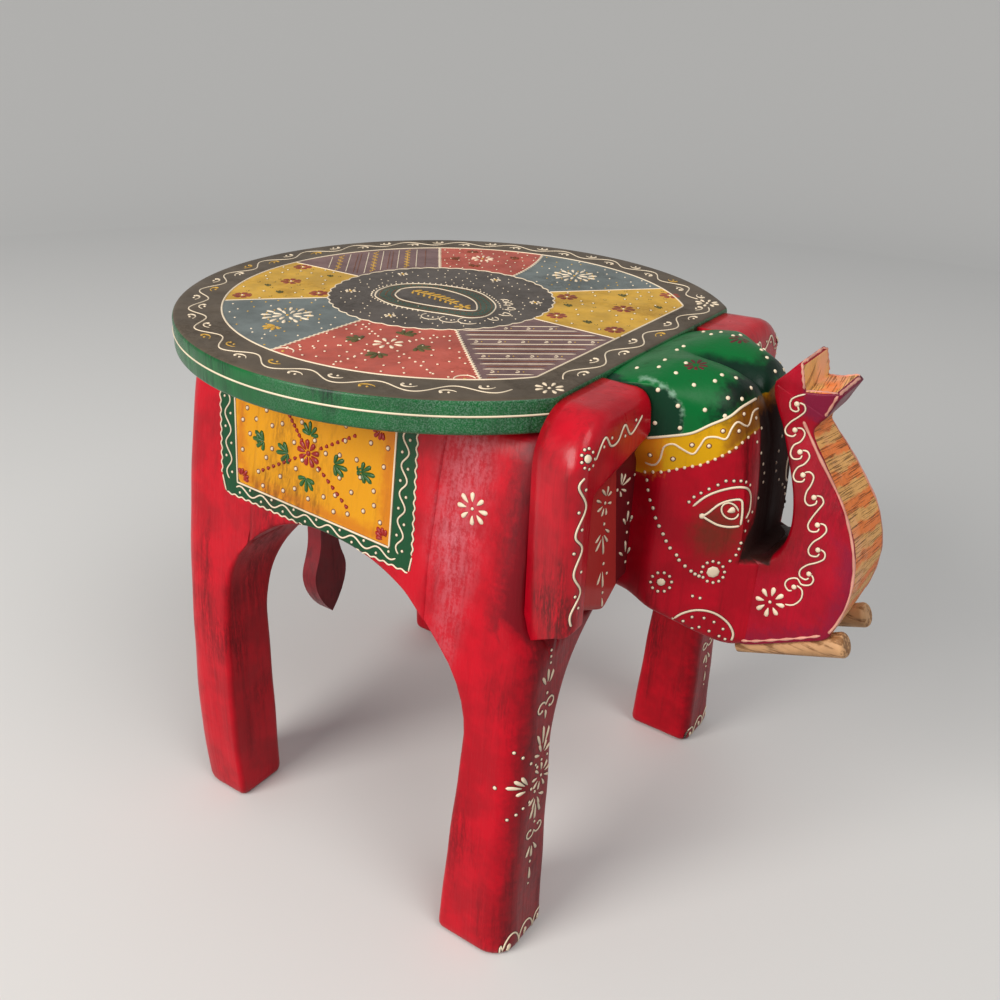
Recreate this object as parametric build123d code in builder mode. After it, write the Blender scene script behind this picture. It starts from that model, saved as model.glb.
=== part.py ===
"""Carved elephant stool: a round seat board on a glued, carved and painted wooden elephant.

+X points to the head, +Y to the elephant's left, +Z up. The origin is on the floor, under the
middle of the whole stool. Lengths are in millimetres.
"""
import os

from build123d import *

# ---- seat board ----
seat_radius = 150.0
seat_height = 300.0         # floor to the top of the board
seat_thickness = 16.5
seat_edge_round = 1.5
nose_reach = 120.0          # seat centre to the board's straight front edge

# ---- body, along X ----
rump_reach = 104.0          # seat centre back to the rump
rear_leg_depth = 37.0
haunch_depth = 54.0         # rump to the rear seam
chest_step = 11.0           # front legs stand forward of the board's straight edge
front_leg_depth = 34.0      # at the springing of the side arch
front_foot_depth = 43.0
shoulder_depth = 62.0       # front of the front legs back to the front seam

# ---- body, across Y and up ----
top_half_width = 97.0       # under the board
flank_half_width = 115.0
flank_height = 192.0
knee_half_width = 125.0
knee_height = 90.0
rear_foot_half_width = 123.0
front_foot_half_width = 130.0
tunnel_half_width = 90.0    # clear half width between left and right legs
tunnel_spring = 120.0
tunnel_crown = 198.0
arch_crown = 204.0          # side arch, highest under the seat centre
rear_arch_spring = 143.0
front_arch_spring = 125.0
corner_round = 12.0
leg_round = 6.0

# ---- ears ----
ear_height = 113.0          # from the pointed lobe's tip
ear_top_drop = 2.0          # the ears and the back of the cap lie this far under the seat's top
ear_thickness = 26.0
ear_back_half_width = 104.0
ear_front_half_width = 111.0
ear_corner = 18.0
ear_rim = 13.0              # width of the raised rim beside the ear's hollow
ear_top_rim = 31.0
ear_rim_rise = 4.0          # the rim ends this far above the lobe's tip
ear_notch_rise = 16.0       # the notch between rim and lobe
ear_root_rise = 10.0        # the ear's lower edge beside the head
ear_lobe_offset = 14.0      # lobe's tip outside the head
ear_hollow_depth = 9.0

# ---- head, forward of the board's straight edge; heights from the tips of the ears' lobes ----
head_half_width = 50.0
cheek_length = 34.0         # straight part of the head beside the ears
brow_length = 68.0
muzzle_length = 77.0        # to the trunk seam
muzzle_half_width = 24.0
cheek_round = 18.0
cap_rise = 8.0              # the cap's two domes stand this far above its back edge
cap_front_drop = 4.0        # below the cap's back edge
cap_shoulder = 22.0         # the cap's rounded sides start this far down
dome_offset = 24.0
valley_depth = 6.0
throat_clearance = 3.0      # the throat turns down this far in front of the chest
throat_rise = 4.0
jaw_length = 61.0
jaw_drop = 15.0
chin_length = 70.0
chin_drop = 20.0
gap_floor_rise = 32.0       # floor of the gap between forehead and trunk

# ---- trunk, forward of the board's straight edge ----
underside_length = 114.0    # where the sloping underside ends
underside_rise = 21.5       # above the chin
trunk_front = 121.0
trunk_front_rise = 32.0     # this and the next above the tips of the ears' lobes
trunk_chest = 110.5         # a point on the front, half way up to the neck
trunk_chest_rise = 65.0
upper_lip_tip = 79.0
upper_lip_rise = 16.5       # above the ears; the drops below are from this tip
trunk_neck = 87.5
trunk_neck_drop = 32.5
lip_root = 93.5
lip_root_drop = 23.5
lower_lip_tip = 99.0
lower_lip_drop = 10.5
fork_depth = 83.0
fork_drop = 14.0
trunk_crest_drop = 12.5
gap_top_drop = 52.5
gap_depth = 19.0            # forehead to the trunk's hollow back
trunk_root_half_width = 22.0
trunk_half_width = 20.0
trunk_neck_half_width = 13.5
trunk_lip_half_width = 16.5

# ---- tusks ----
tusk_root_radius = 3.2
tusk_tip_radius = 6.4
tusk_length = 56.0
tusk_spread = 16.5
tusk_flat = 0.8             # depth of the flat that is glued to head and trunk
tusk_tip_round = 2.5

# ---- tail ----
tail_thickness = 12.0
tail_top = 244.0
tail_neck_half_width = 8.0
tail_neck_height = 122.0
tail_spear_half_width = 15.0
tail_spear_height = 92.0
tail_tip_height = 60.0

# ---- dowels, screws and nails ----
fit = 0.1                   # clearance round a dowel, screw, plug or nail, and at a dowel's ends
dowel_radius = 5.0
dowel_depth = 20.0          # into each of the two pieces
ear_dowel_depth = 12.0      # into the ear, where its hollow leaves less wood
inner_dowel_share = 1 / 3   # of the half width under the board
outer_dowel_share = 5 / 6
outer_dowel_drop = 15.0     # below the inner dowels
head_top_dowel_drop = 35.0  # below the top of the ears
head_low_dowel_drop = 75.0
ear_low_dowel_rise = 31.0   # above the tips of the ears' lobes
ear_high_dowel_rise = 73.0
trunk_dowel_pitch = 20.0
pin_radius = 2.0
pin_depth_tusk = 6.0
pin_depth_trunk = 9.0
pin_reach = 32.0            # along the tusk from its root
screw_radius = 2.5
screw_head_radius = 5.0
screw_head_height = 3.2
screw_depth = 34.0          # into the block under the board
screw_spread = 60.0         # left and right of the middle
plug_depth = 6.0
nail_radius = 1.5
nail_head_radius = 3.0
nail_head_height = 1.2
nail_depth = 22.0           # into the rump
nail_pitch = 22.0
top_nail_drop = 12.0        # below the top of the tail

# ---- places worked out from the sizes ----
block_top = seat_height - seat_thickness
ear_top = seat_height - ear_top_drop
ear_bottom = ear_top - ear_height
throat_height = ear_bottom + throat_rise
throat_length = chest_step + throat_clearance
jaw_height = ear_bottom - jaw_drop
chin_height = ear_bottom - chin_drop
underside_height = chin_height + underside_rise
gap_floor = ear_bottom + gap_floor_rise
trunk_front_height = ear_bottom + trunk_front_rise
trunk_chest_height = ear_bottom + trunk_chest_rise
upper_lip_height = ear_top + upper_lip_rise
trunk_neck_height = upper_lip_height - trunk_neck_drop
lip_root_height = upper_lip_height - lip_root_drop
lower_lip_height = upper_lip_height - lower_lip_drop
fork_height = upper_lip_height - fork_drop
trunk_crest_height = upper_lip_height - trunk_crest_drop
gap_top = upper_lip_height - gap_top_drop

slope = Vector(underside_length - chin_length, 0, underside_height - chin_height).normalized()
below = Vector(slope.Z, 0, -slope.X)         # square to the sloping underside, pointing down
tusk_reach = (
    chin_length
    + slope.X * (tusk_length - tusk_tip_round)
    + below.X * (2 * tusk_tip_radius - tusk_flat - tusk_tip_round)
    + tusk_tip_round
)
seat_x = (seat_radius - nose_reach - tusk_reach) / 2     # puts the origin under the stool's middle
nose_x = seat_x + nose_reach
rump_x = seat_x - rump_reach
rear_leg_front_x = rump_x + rear_leg_depth
rear_seam_x = rump_x + haunch_depth
leg_front_x = nose_x + chest_step
front_leg_back_x = leg_front_x - front_leg_depth
front_foot_back_x = leg_front_x - front_foot_depth
front_seam_x = leg_front_x - shoulder_depth
trunk_seam_x = nose_x + muzzle_length
brow_x = nose_x + brow_length
chin_x = nose_x + chin_length
seam_foot_height = chin_height + (muzzle_length - chin_length) * slope.Z / slope.X
rim_y = ear_front_half_width - ear_rim
screw_head_top = seat_height - plug_depth

body_dowel_height = (tunnel_crown + block_top) / 2
body_dowels = [
    (side * top_half_width * share, body_dowel_height - drop)
    for side in (-1, 1)
    for share, drop in ((inner_dowel_share, 0), (outer_dowel_share, outer_dowel_drop))
]
head_dowels_at = [(0, ear_top - head_top_dowel_drop)] + [
    (side * head_half_width / 2, ear_top - head_low_dowel_drop) for side in (-1, 1)
]
ear_dowel_y = (head_half_width + ear_back_half_width) / 2
ear_dowel_heights = (ear_bottom + ear_low_dowel_rise, ear_bottom + ear_high_dowel_rise)
trunk_dowel_middle = (seam_foot_height + gap_floor) / 2
trunk_dowels_at = [(0, trunk_dowel_middle + side * trunk_dowel_pitch / 2) for side in (-1, 1)]
screws_at = [
    (x, side * screw_spread)
    for x in ((rump_x + rear_seam_x) / 2, (front_seam_x + nose_x) / 2)
    for side in (-1, 1)
]
nail_heights = (tail_top - top_nail_drop, tail_top - top_nail_drop - nail_pitch)


# ---- outlines and cuts that several pieces share ----
def outer_side(foot_half_width):
    """Closed outline of the body across Y: flat on the floor, bulging flanks, flat top."""
    flank = Spline(
        (foot_half_width, 0),
        (knee_half_width, knee_height),
        (flank_half_width, flank_height),
        (top_half_width, block_top),
    )
    mirror(flank, about=Plane.YZ)
    Line((-top_half_width, block_top), (top_half_width, block_top))
    Line((-foot_half_width, 0), (foot_half_width, 0))


def tunnel():
    """Tunnel between left and right legs: upright sides and half an ellipse on top."""
    Polyline(
        (-tunnel_half_width, tunnel_spring),
        (-tunnel_half_width, 0),
        (tunnel_half_width, 0),
        (tunnel_half_width, tunnel_spring),
    )
    EllipticalCenterArc((0, tunnel_spring), tunnel_half_width, tunnel_crown - tunnel_spring,
                        0, arc_size=180)


def side_arch():
    """Side arch: two quarter ellipses that meet at the crown, over the sides of the legs."""
    EllipticalCenterArc((seat_x, front_arch_spring), front_leg_back_x - seat_x,
                        arch_crown - front_arch_spring, 0, arc_size=90)
    EllipticalCenterArc((seat_x, rear_arch_spring), seat_x - rear_leg_front_x,
                        arch_crown - rear_arch_spring, 90, arc_size=90)
    Polyline(
        (rear_leg_front_x, rear_arch_spring),
        (rear_leg_front_x, 0),
        (front_foot_back_x, 0),
        (front_leg_back_x, front_arch_spring),
    )


def cut_tunnel_and_arch():
    """Cut the tunnel along X and the side arch along Y out of the block being built."""
    with BuildSketch(Plane.YZ.offset(rump_x)) as tunnel_face:
        with BuildLine():
            tunnel()
        make_face()
    extrude(tunnel_face.sketch, amount=leg_front_x - rump_x, mode=Mode.SUBTRACT)
    with BuildSketch(Plane.XZ) as arch_face:
        with BuildLine():
            side_arch()
        make_face()
    extrude(arch_face.sketch, amount=2 * front_foot_half_width, both=True, mode=Mode.SUBTRACT)


def cylinders_x(x, spots, radius, length, mode=Mode.ADD):
    """Round bars, or holes, that run along X from the plane at x; a negative length runs back."""
    with BuildSketch(Plane.YZ.offset(x)) as circles:
        with Locations(*spots):
            Circle(radius)
    extrude(circles.sketch, amount=length, mode=mode)


def dowel_holes_x(x, spots, depth):
    """Holes for one end of each dowel, drilled from the seam at x; a negative depth runs back."""
    cylinders_x(x, spots, dowel_radius + fit, depth, Mode.SUBTRACT)


def seam_dowels(x, spots, front_depth=dowel_depth):
    """Dowels that lie across the seam at x."""
    with BuildPart() as dowels:
        cylinders_x(x - dowel_depth + fit, spots, dowel_radius,
                    dowel_depth + front_depth - 2 * fit)
    return dowels


def screw_holes():
    """Pilot holes for the seat screws."""
    with BuildSketch(Plane.XY.offset(block_top)) as circles:
        with Locations(*screws_at):
            Circle(screw_radius + fit)
    extrude(circles.sketch, amount=-screw_depth - fit, mode=Mode.SUBTRACT)


# ---- seat board ----
with BuildPart() as seat_board:
    with BuildSketch(Plane.XY.offset(block_top)):
        with Locations((seat_x, 0)):
            Circle(seat_radius)
        with Locations((nose_x + seat_radius, 0)):
            Rectangle(2 * seat_radius, 2 * seat_radius, mode=Mode.SUBTRACT)
    extrude(amount=seat_thickness)
    rims = seat_board.edges().group_by(Axis.Z)
    fillet(rims[0] + rims[-1], seat_edge_round)
    with BuildSketch(Plane.XY.offset(screw_head_top)):
        with Locations(*screws_at):
            Circle(screw_head_radius + fit)
    extrude(amount=plug_depth, mode=Mode.SUBTRACT)
    with Locations(*[(x, y, screw_head_top - screw_head_height / 2) for x, y in screws_at]):
        Cone(screw_radius + fit, screw_head_radius + fit, screw_head_height, mode=Mode.SUBTRACT)
    with BuildSketch(Plane.XY.offset(block_top)):
        with Locations(*screws_at):
            Circle(screw_radius + fit)
    extrude(amount=seat_thickness - plug_depth, mode=Mode.SUBTRACT)

# ---- haunch block: rump and rear legs ----
with BuildPart() as haunch_block:
    with BuildSketch(Plane.YZ.offset(rump_x)):
        with BuildLine():
            outer_side(rear_foot_half_width)
        make_face()
    extrude(amount=haunch_depth)
    cut_tunnel_and_arch()
    rump_sides = haunch_block.faces().sort_by(Axis.X)[0].edges().filter_by(
        lambda edge: abs(edge.center().Y) > tunnel_half_width + fit and edge.center().Z > leg_round
    )
    fillet(rump_sides, corner_round)
    dowel_holes_x(rear_seam_x, body_dowels, -dowel_depth)
    cylinders_x(rump_x, [(0, z) for z in nail_heights], nail_radius + fit, nail_depth + fit,
                Mode.SUBTRACT)
    screw_holes()

# ---- belly block ----
with BuildPart() as belly_block:
    with BuildSketch(Plane.YZ.offset(rear_seam_x)):
        with BuildLine():
            outer_side(rear_foot_half_width)
        make_face()
    extrude(amount=front_seam_x - rear_seam_x)
    cut_tunnel_and_arch()
    dowel_holes_x(rear_seam_x, body_dowels, dowel_depth)
    dowel_holes_x(front_seam_x, body_dowels, -dowel_depth)

# ---- shoulder block: chest and front legs ----
with BuildPart() as shoulder_block:
    with BuildSketch(Plane.YZ.offset(front_seam_x)):
        with BuildLine():
            outer_side(front_foot_half_width)
        make_face()
    extrude(amount=shoulder_depth)
    cut_tunnel_and_arch()
    leg_sides = shoulder_block.faces().sort_by(Axis.X)[-1].edges().filter_by(
        lambda edge: abs(edge.center().Y) > tunnel_half_width + fit and edge.center().Z > leg_round
    )
    fillet(leg_sides, leg_round)
    with BuildSketch(Plane.XZ):
        with Locations((nose_x + chest_step, (ear_bottom + seat_height) / 2)):
            Rectangle(2 * chest_step, seat_height - ear_bottom)
    extrude(amount=2 * front_foot_half_width, both=True, mode=Mode.SUBTRACT)
    dowel_holes_x(front_seam_x, body_dowels, dowel_depth)
    dowel_holes_x(nose_x, head_dowels_at, -dowel_depth)
    for side in (-1, 1):
        dowel_holes_x(nose_x, [(side * ear_dowel_y, z) for z in ear_dowel_heights], -dowel_depth)
    screw_holes()

# ---- head block: side view, cut to its plan and to its front view ----
with BuildPart() as head_block:
    with BuildSketch(Plane.XZ):
        with BuildLine():
            Polyline(
                (nose_x, ear_top),
                (nose_x, throat_height),
                (nose_x + throat_length, throat_height),
                (nose_x + jaw_length, jaw_height),
                (chin_x, chin_height),
                (trunk_seam_x, seam_foot_height),
                (trunk_seam_x, gap_floor),
                (brow_x, gap_floor),
                (brow_x, ear_top - cap_front_drop),
            )
            ThreePointArc(
                (brow_x, ear_top - cap_front_drop),
                (nose_x + brow_length / 2, ear_top + cap_rise),
                (nose_x, ear_top),
            )
        make_face()
    extrude(amount=head_half_width, both=True)
    with BuildSketch(Plane.XY):
        with BuildLine():
            Polyline(
                (nose_x, head_half_width),
                (nose_x + cheek_length, head_half_width),
                (trunk_seam_x, muzzle_half_width),
                (trunk_seam_x, -muzzle_half_width),
                (nose_x + cheek_length, -head_half_width),
                (nose_x, -head_half_width),
                close=True,
            )
        face = make_face()
        cheeks = face.vertices().filter_by(
            lambda corner: abs(corner.X - nose_x - cheek_length) < fit
        )
        fillet(cheeks, cheek_round)
    extrude(amount=2 * seat_height, mode=Mode.INTERSECT)
    with BuildSketch(Plane.YZ.offset(nose_x)):
        with BuildLine():
            dome = Spline(
                (head_half_width, ear_top - cap_shoulder),
                (dome_offset, ear_top + cap_rise),
                (0, ear_top + cap_rise - valley_depth),
                tangents=((0, 1), (-1, -0.5)),
            )
            mirror(dome, about=Plane.YZ)
            Polyline(
                (-head_half_width, ear_top - cap_shoulder),
                (-head_half_width, 0),
                (head_half_width, 0),
                (head_half_width, ear_top - cap_shoulder),
            )
        make_face()
    extrude(amount=muzzle_length, mode=Mode.INTERSECT)
    dowel_holes_x(nose_x, head_dowels_at, dowel_depth)
    dowel_holes_x(trunk_seam_x, trunk_dowels_at, -dowel_depth)

# ---- trunk block: side view, cut to its front view ----
with BuildPart() as trunk_block:
    with BuildSketch(Plane.XZ):
        with BuildLine():
            Spline(
                (nose_x + underside_length, underside_height),
                (nose_x + trunk_front, trunk_front_height),
                (nose_x + trunk_chest, trunk_chest_height),
                (nose_x + trunk_neck, trunk_neck_height),
            )
            Polyline(
                (nose_x + trunk_neck, trunk_neck_height),
                (nose_x + lip_root, lip_root_height),
                (nose_x + lower_lip_tip, lower_lip_height),
                (nose_x + fork_depth, fork_height),
                (nose_x + upper_lip_tip, upper_lip_height),
                (brow_x, trunk_crest_height),
                (brow_x, gap_top),
            )
            ThreePointArc(
                (brow_x, gap_top), (brow_x + gap_depth, (gap_top + gap_floor) / 2),
                (trunk_seam_x, gap_floor)
            )
            Polyline(
                (trunk_seam_x, gap_floor),
                (trunk_seam_x, seam_foot_height),
                (nose_x + underside_length, underside_height),
            )
        make_face()
    extrude(amount=trunk_root_half_width, both=True)
    with BuildSketch(Plane.YZ.offset(brow_x)):
        with BuildLine():
            side_line = Spline(
                (trunk_root_half_width, chin_height),
                (trunk_half_width, trunk_front_height),
                (trunk_half_width, trunk_chest_height),
                (trunk_neck_half_width, trunk_neck_height),
                (trunk_lip_half_width, lower_lip_height),
                (trunk_lip_half_width, upper_lip_height),
            )
            mirror(side_line, about=Plane.YZ)
            Line((-trunk_root_half_width, chin_height), (trunk_root_half_width, chin_height))
            Line((-trunk_lip_half_width, upper_lip_height),
                 (trunk_lip_half_width, upper_lip_height))
        make_face()
    extrude(amount=tusk_reach, mode=Mode.INTERSECT)
    dowel_holes_x(trunk_seam_x, trunk_dowels_at, dowel_depth)
    for side in (-1, 1):
        with BuildSketch(Plane(origin=(chin_x + slope.X * pin_reach, side * tusk_spread,
                                       chin_height + slope.Z * pin_reach), z_dir=-below)):
            Circle(pin_radius + fit)
        extrude(amount=pin_depth_trunk + fit, mode=Mode.SUBTRACT)


# ---- ears ----
def make_ear(side):
    """Thick slab against the head: plan, then front view, then the hollow in its front."""
    with BuildPart() as ear:
        with BuildSketch(Plane.XY.offset(ear_bottom)):
            with BuildLine():
                Polyline(
                    (nose_x, side * head_half_width),
                    (nose_x, side * ear_back_half_width),
                    (nose_x + ear_thickness, side * ear_front_half_width),
                    (nose_x + ear_thickness, side * head_half_width),
                    close=True,
                )
            make_face()
        extrude(amount=ear_height)
        with BuildSketch(Plane.YZ.offset(nose_x)):
            with BuildLine():
                Polyline(
                    (side * head_half_width, ear_top),
                    (side * ear_front_half_width, ear_top),
                    (side * ear_front_half_width, ear_bottom + ear_rim_rise),
                    (side * rim_y, ear_bottom + ear_rim_rise),
                    (side * rim_y, ear_bottom + ear_notch_rise),
                    (side * (head_half_width + ear_lobe_offset), ear_bottom),
                    (side * head_half_width, ear_bottom + ear_root_rise),
                    close=True,
                )
            outline = make_face()
            corners = outline.vertices().sort_by_distance((side * ear_front_half_width, ear_top))
            fillet(corners[0], ear_corner)
        extrude(amount=ear_thickness, mode=Mode.INTERSECT)
        with BuildSketch(Plane.YZ.offset(nose_x + ear_thickness)):
            with BuildLine():
                Polyline(
                    (side * head_half_width, ear_top - ear_top_rim),
                    (side * rim_y, ear_top - ear_top_rim),
                    (side * rim_y, ear_bottom - fit),
                    (side * head_half_width, ear_bottom - fit),
                    close=True,
                )
            hollow = make_face()
            corners = hollow.vertices().sort_by_distance((side * rim_y, ear_top - ear_top_rim))
            fillet(corners[0], ear_rim)
        extrude(amount=-ear_hollow_depth, mode=Mode.SUBTRACT)
        dowel_holes_x(nose_x, [(side * ear_dowel_y, z) for z in ear_dowel_heights], ear_dowel_depth)
    return ear


# ---- tusks ----
def make_tusk(side):
    """Tapered round bar along the sloping underside, with a thin flat where it is glued."""
    root = Vector(chin_x, side * tusk_spread, chin_height)
    with BuildPart() as tusk:
        with BuildSketch(Plane(origin=root + below * (tusk_root_radius - tusk_flat),
                               z_dir=slope)):
            Circle(tusk_root_radius)
        with BuildSketch(Plane(origin=root + slope * tusk_length
                               + below * (tusk_tip_radius - tusk_flat), z_dir=slope)):
            Circle(tusk_tip_radius)
        loft()
        fillet(tusk.edges().sort_by(Axis.X)[-1], tusk_tip_round)
        split(bisect_by=Plane(origin=root, z_dir=below), keep=Keep.TOP)
        with BuildSketch(Plane(origin=root + slope * pin_reach, z_dir=below)):
            Circle(pin_radius + fit)
        extrude(amount=pin_depth_tusk + fit, mode=Mode.SUBTRACT)
    return tusk


ear_right = make_ear(-1)
ear_left = make_ear(1)
tusk_right = make_tusk(-1)
tusk_left = make_tusk(1)

# ---- tail ----
with BuildPart() as tail:
    with BuildSketch(Plane.YZ.offset(rump_x)):
        with BuildLine():
            spear = Spline(
                (tail_neck_half_width, tail_neck_height),
                (tail_spear_half_width, tail_spear_height),
                (0, tail_tip_height),
                tangents=((0, -1), (-1, -1)),
            )
            mirror(spear, about=Plane.YZ)
            Polyline(
                (tail_neck_half_width, tail_neck_height),
                (tail_neck_half_width, tail_top),
                (-tail_neck_half_width, tail_top),
                (-tail_neck_half_width, tail_neck_height),
            )
        make_face()
    extrude(amount=-tail_thickness)
    cylinders_x(rump_x, [(0, z) for z in nail_heights], nail_radius + fit, -tail_thickness,
                Mode.SUBTRACT)
    cylinders_x(rump_x - tail_thickness, [(0, z) for z in nail_heights], nail_head_radius + fit,
                nail_head_height, Mode.SUBTRACT)

# ---- dowels ----
haunch_dowels = seam_dowels(rear_seam_x, body_dowels)
shoulder_dowels = seam_dowels(front_seam_x, body_dowels)
head_dowels = seam_dowels(nose_x, head_dowels_at)
trunk_dowels = seam_dowels(trunk_seam_x, trunk_dowels_at)
ear_right_dowels = seam_dowels(nose_x, [(-ear_dowel_y, z) for z in ear_dowel_heights],
                               ear_dowel_depth)
ear_left_dowels = seam_dowels(nose_x, [(ear_dowel_y, z) for z in ear_dowel_heights],
                              ear_dowel_depth)

with BuildPart() as tusk_pins:
    for side in (-1, 1):
        with BuildSketch(Plane(origin=Vector(chin_x, side * tusk_spread, chin_height)
                               + slope * pin_reach + below * pin_depth_tusk, z_dir=-below)):
            Circle(pin_radius)
        extrude(amount=pin_depth_tusk + pin_depth_trunk)

# ---- screws, plugs and nails ----
with BuildPart() as seat_screws:
    with Locations(*[(x, y, screw_head_top - screw_head_height / 2) for x, y in screws_at]):
        Cone(screw_radius, screw_head_radius, screw_head_height)
    with BuildSketch(Plane.XY.offset(block_top - screw_depth)):
        with Locations(*screws_at):
            Circle(screw_radius)
    extrude(amount=screw_depth + seat_thickness - plug_depth - screw_head_height)

with BuildPart() as seat_plugs:
    with BuildSketch(Plane.XY.offset(screw_head_top)):
        with Locations(*screws_at):
            Circle(screw_head_radius)
    extrude(amount=plug_depth)

with BuildPart() as tail_nails:
    cylinders_x(rump_x - tail_thickness, [(0, z) for z in nail_heights], nail_head_radius,
                nail_head_height)
    cylinders_x(rump_x - tail_thickness, [(0, z) for z in nail_heights], nail_radius,
                tail_thickness + nail_depth)

pieces = {
    "seat_board": seat_board,
    "haunch_block": haunch_block,
    "belly_block": belly_block,
    "shoulder_block": shoulder_block,
    "head_block": head_block,
    "trunk_block": trunk_block,
    "ear_right": ear_right,
    "ear_left": ear_left,
    "tusk_right": tusk_right,
    "tusk_left": tusk_left,
    "tail": tail,
    "seat_screws": seat_screws,
    "seat_plugs": seat_plugs,
    "haunch_dowels": haunch_dowels,
    "shoulder_dowels": shoulder_dowels,
    "head_dowels": head_dowels,
    "trunk_dowels": trunk_dowels,
    "ear_right_dowels": ear_right_dowels,
    "ear_left_dowels": ear_left_dowels,
    "tusk_pins": tusk_pins,
    "tail_nails": tail_nails,
}

os.makedirs("parts", exist_ok=True)
for name, piece in pieces.items():
    piece.part.label = name
    export_step(piece.part, f"parts/{name}.step")
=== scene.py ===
import math

import bmesh
import bpy
import numpy as np
from mathutils import Matrix, Vector
from mathutils.bvhtree import BVHTree


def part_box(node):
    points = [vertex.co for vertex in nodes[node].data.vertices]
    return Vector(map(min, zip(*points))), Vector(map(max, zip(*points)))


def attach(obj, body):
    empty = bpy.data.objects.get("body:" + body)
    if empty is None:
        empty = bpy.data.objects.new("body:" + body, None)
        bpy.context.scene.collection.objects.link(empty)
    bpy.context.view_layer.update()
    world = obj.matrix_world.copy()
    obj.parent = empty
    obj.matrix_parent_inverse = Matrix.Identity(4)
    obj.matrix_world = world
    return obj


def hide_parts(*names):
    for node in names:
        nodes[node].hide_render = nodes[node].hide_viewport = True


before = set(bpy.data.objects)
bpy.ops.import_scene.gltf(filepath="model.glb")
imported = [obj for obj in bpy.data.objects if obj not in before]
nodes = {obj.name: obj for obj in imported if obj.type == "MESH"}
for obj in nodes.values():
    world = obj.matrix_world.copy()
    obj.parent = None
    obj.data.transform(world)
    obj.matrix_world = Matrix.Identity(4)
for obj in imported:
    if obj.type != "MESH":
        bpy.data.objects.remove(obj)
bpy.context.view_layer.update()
rng = np.random.default_rng(41)
seatCentre = 1000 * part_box("seat_board")[0][0] + 150  # shapes below are in mm, with x forward of this

# the camera: its back, right and up directions from its angles, then rolled about its line of sight
camera = {"at": (0.28660, -0.45090, 0.45848), "azimuth": 33.726, "elevation": 26.443, "roll": 2.158,
          "lens": 37.665, "sensor": 36.0, "near": 0.01, "picture": 1000}
az, el, roll = (math.radians(camera[k]) for k in ("azimuth", "elevation", "roll"))
back = Vector((math.sin(az) * math.cos(el), -math.cos(az) * math.cos(el), math.sin(el)))
right = (-back).cross(Vector((0, 0, 1))).normalized()
up = right.cross(-back)
right, up = right * math.cos(roll) + up * math.sin(roll), up * math.cos(roll) - right * math.sin(roll)
lens = bpy.data.cameras.new("camera")
lens.lens, lens.sensor_width, lens.clip_start = camera["lens"], camera["sensor"], camera["near"]
eye = bpy.data.objects.new("camera", lens)
eye.matrix_world = Matrix.Translation(camera["at"]) @ Matrix((right, up, back)).transposed().to_4x4()
bpy.context.scene.collection.objects.link(eye)
bpy.context.scene.camera = eye
eyeAt = 1000 * np.array(camera["at"]) - (seatCentre, 0, 0)
focal = camera["picture"] * camera["lens"] / camera["sensor"]
backWay, rightWay, upWay = (np.array(v) for v in (back, right, up))


def gridFaces(rows, cols, wrap=False):
    # quads of a rows x cols grid: each joins a point to its three neighbours ahead, columns wrapping if asked
    i, j = np.meshgrid(np.arange(rows - 1), np.arange(cols if wrap else cols - 1), indexing="ij")
    k = (j + 1) % cols
    return np.stack([i * cols + j, i * cols + k, (i + 1) * cols + k, (i + 1) * cols + j], -1).reshape(-1, 4)


def fanFaces(ring, hub):
    # triangles from a closed ring of point numbers to one hub point
    return np.stack([ring, np.roll(ring, -1), np.full(len(ring), hub)], -1)


def tube(loops, slots=0):
    # stations x loop points x 3, closed round each loop and at both ends by a fan to the loop's middle
    rows, cols = loops.shape[:2]
    points = np.concatenate([loops.reshape(-1, 3), loops[0].mean(0)[None], loops[-1].mean(0)[None]])
    first, last = np.arange(cols), (rows - 1) * cols + np.arange(cols)
    ends = np.concatenate([fanFaces(first, rows * cols), fanFaces(last, rows * cols + 1)])
    slotRow = np.broadcast_to(slots, (rows - 1, cols)).reshape(-1)
    return [(points, gridFaces(rows, cols, True), slotRow), (None, ends, 0)]


def pointsOf(parts):
    # all points of a piece's parts in one array
    return np.concatenate([p for p, _, _ in parts if p is not None])


def addMesh(name, parts, materials):
    # parts are (points, faces, slot number); points None means the faces use the points of the part before
    faces, numbers, base, start = [], [], 0, 0
    for p, f, s in parts:
        if p is not None:
            start = base
            base += len(p)
        faces.append(f + start)
        numbers.append(np.broadcast_to(s, len(f)))
    v = pointsOf(parts) * 0.001 + (seatCentre * 0.001, 0, 0)
    mesh = bpy.data.meshes.new(name)
    mesh.vertices.add(len(v))
    mesh.vertices.foreach_set("co", v.astype(np.float32).ravel())
    sizes = np.concatenate([np.full(len(f), f.shape[1]) for f in faces])
    mesh.loops.add(int(sizes.sum()))
    mesh.loops.foreach_set("vertex_index", np.concatenate([f.ravel() for f in faces]).astype(np.int32))
    mesh.polygons.add(len(sizes))
    mesh.polygons.foreach_set("loop_start", (np.cumsum(sizes) - sizes).astype(np.int32))
    for m in materials:
        mesh.materials.append(m)
    mesh.polygons.foreach_set("material_index", np.concatenate(numbers).astype(np.int32))
    mesh.update(calc_edges=True)
    mesh.validate()
    return mesh


def turnOut(mesh, weld=None):
    # turns all faces outwards; with weld, points nearer than that many metres are made one first
    bm = bmesh.new()
    bm.from_mesh(mesh)
    if weld:
        bmesh.ops.remove_doubles(bm, verts=bm.verts, dist=weld)
    bmesh.ops.recalc_face_normals(bm, faces=bm.faces)
    bm.to_mesh(mesh)
    bm.free()


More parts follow.
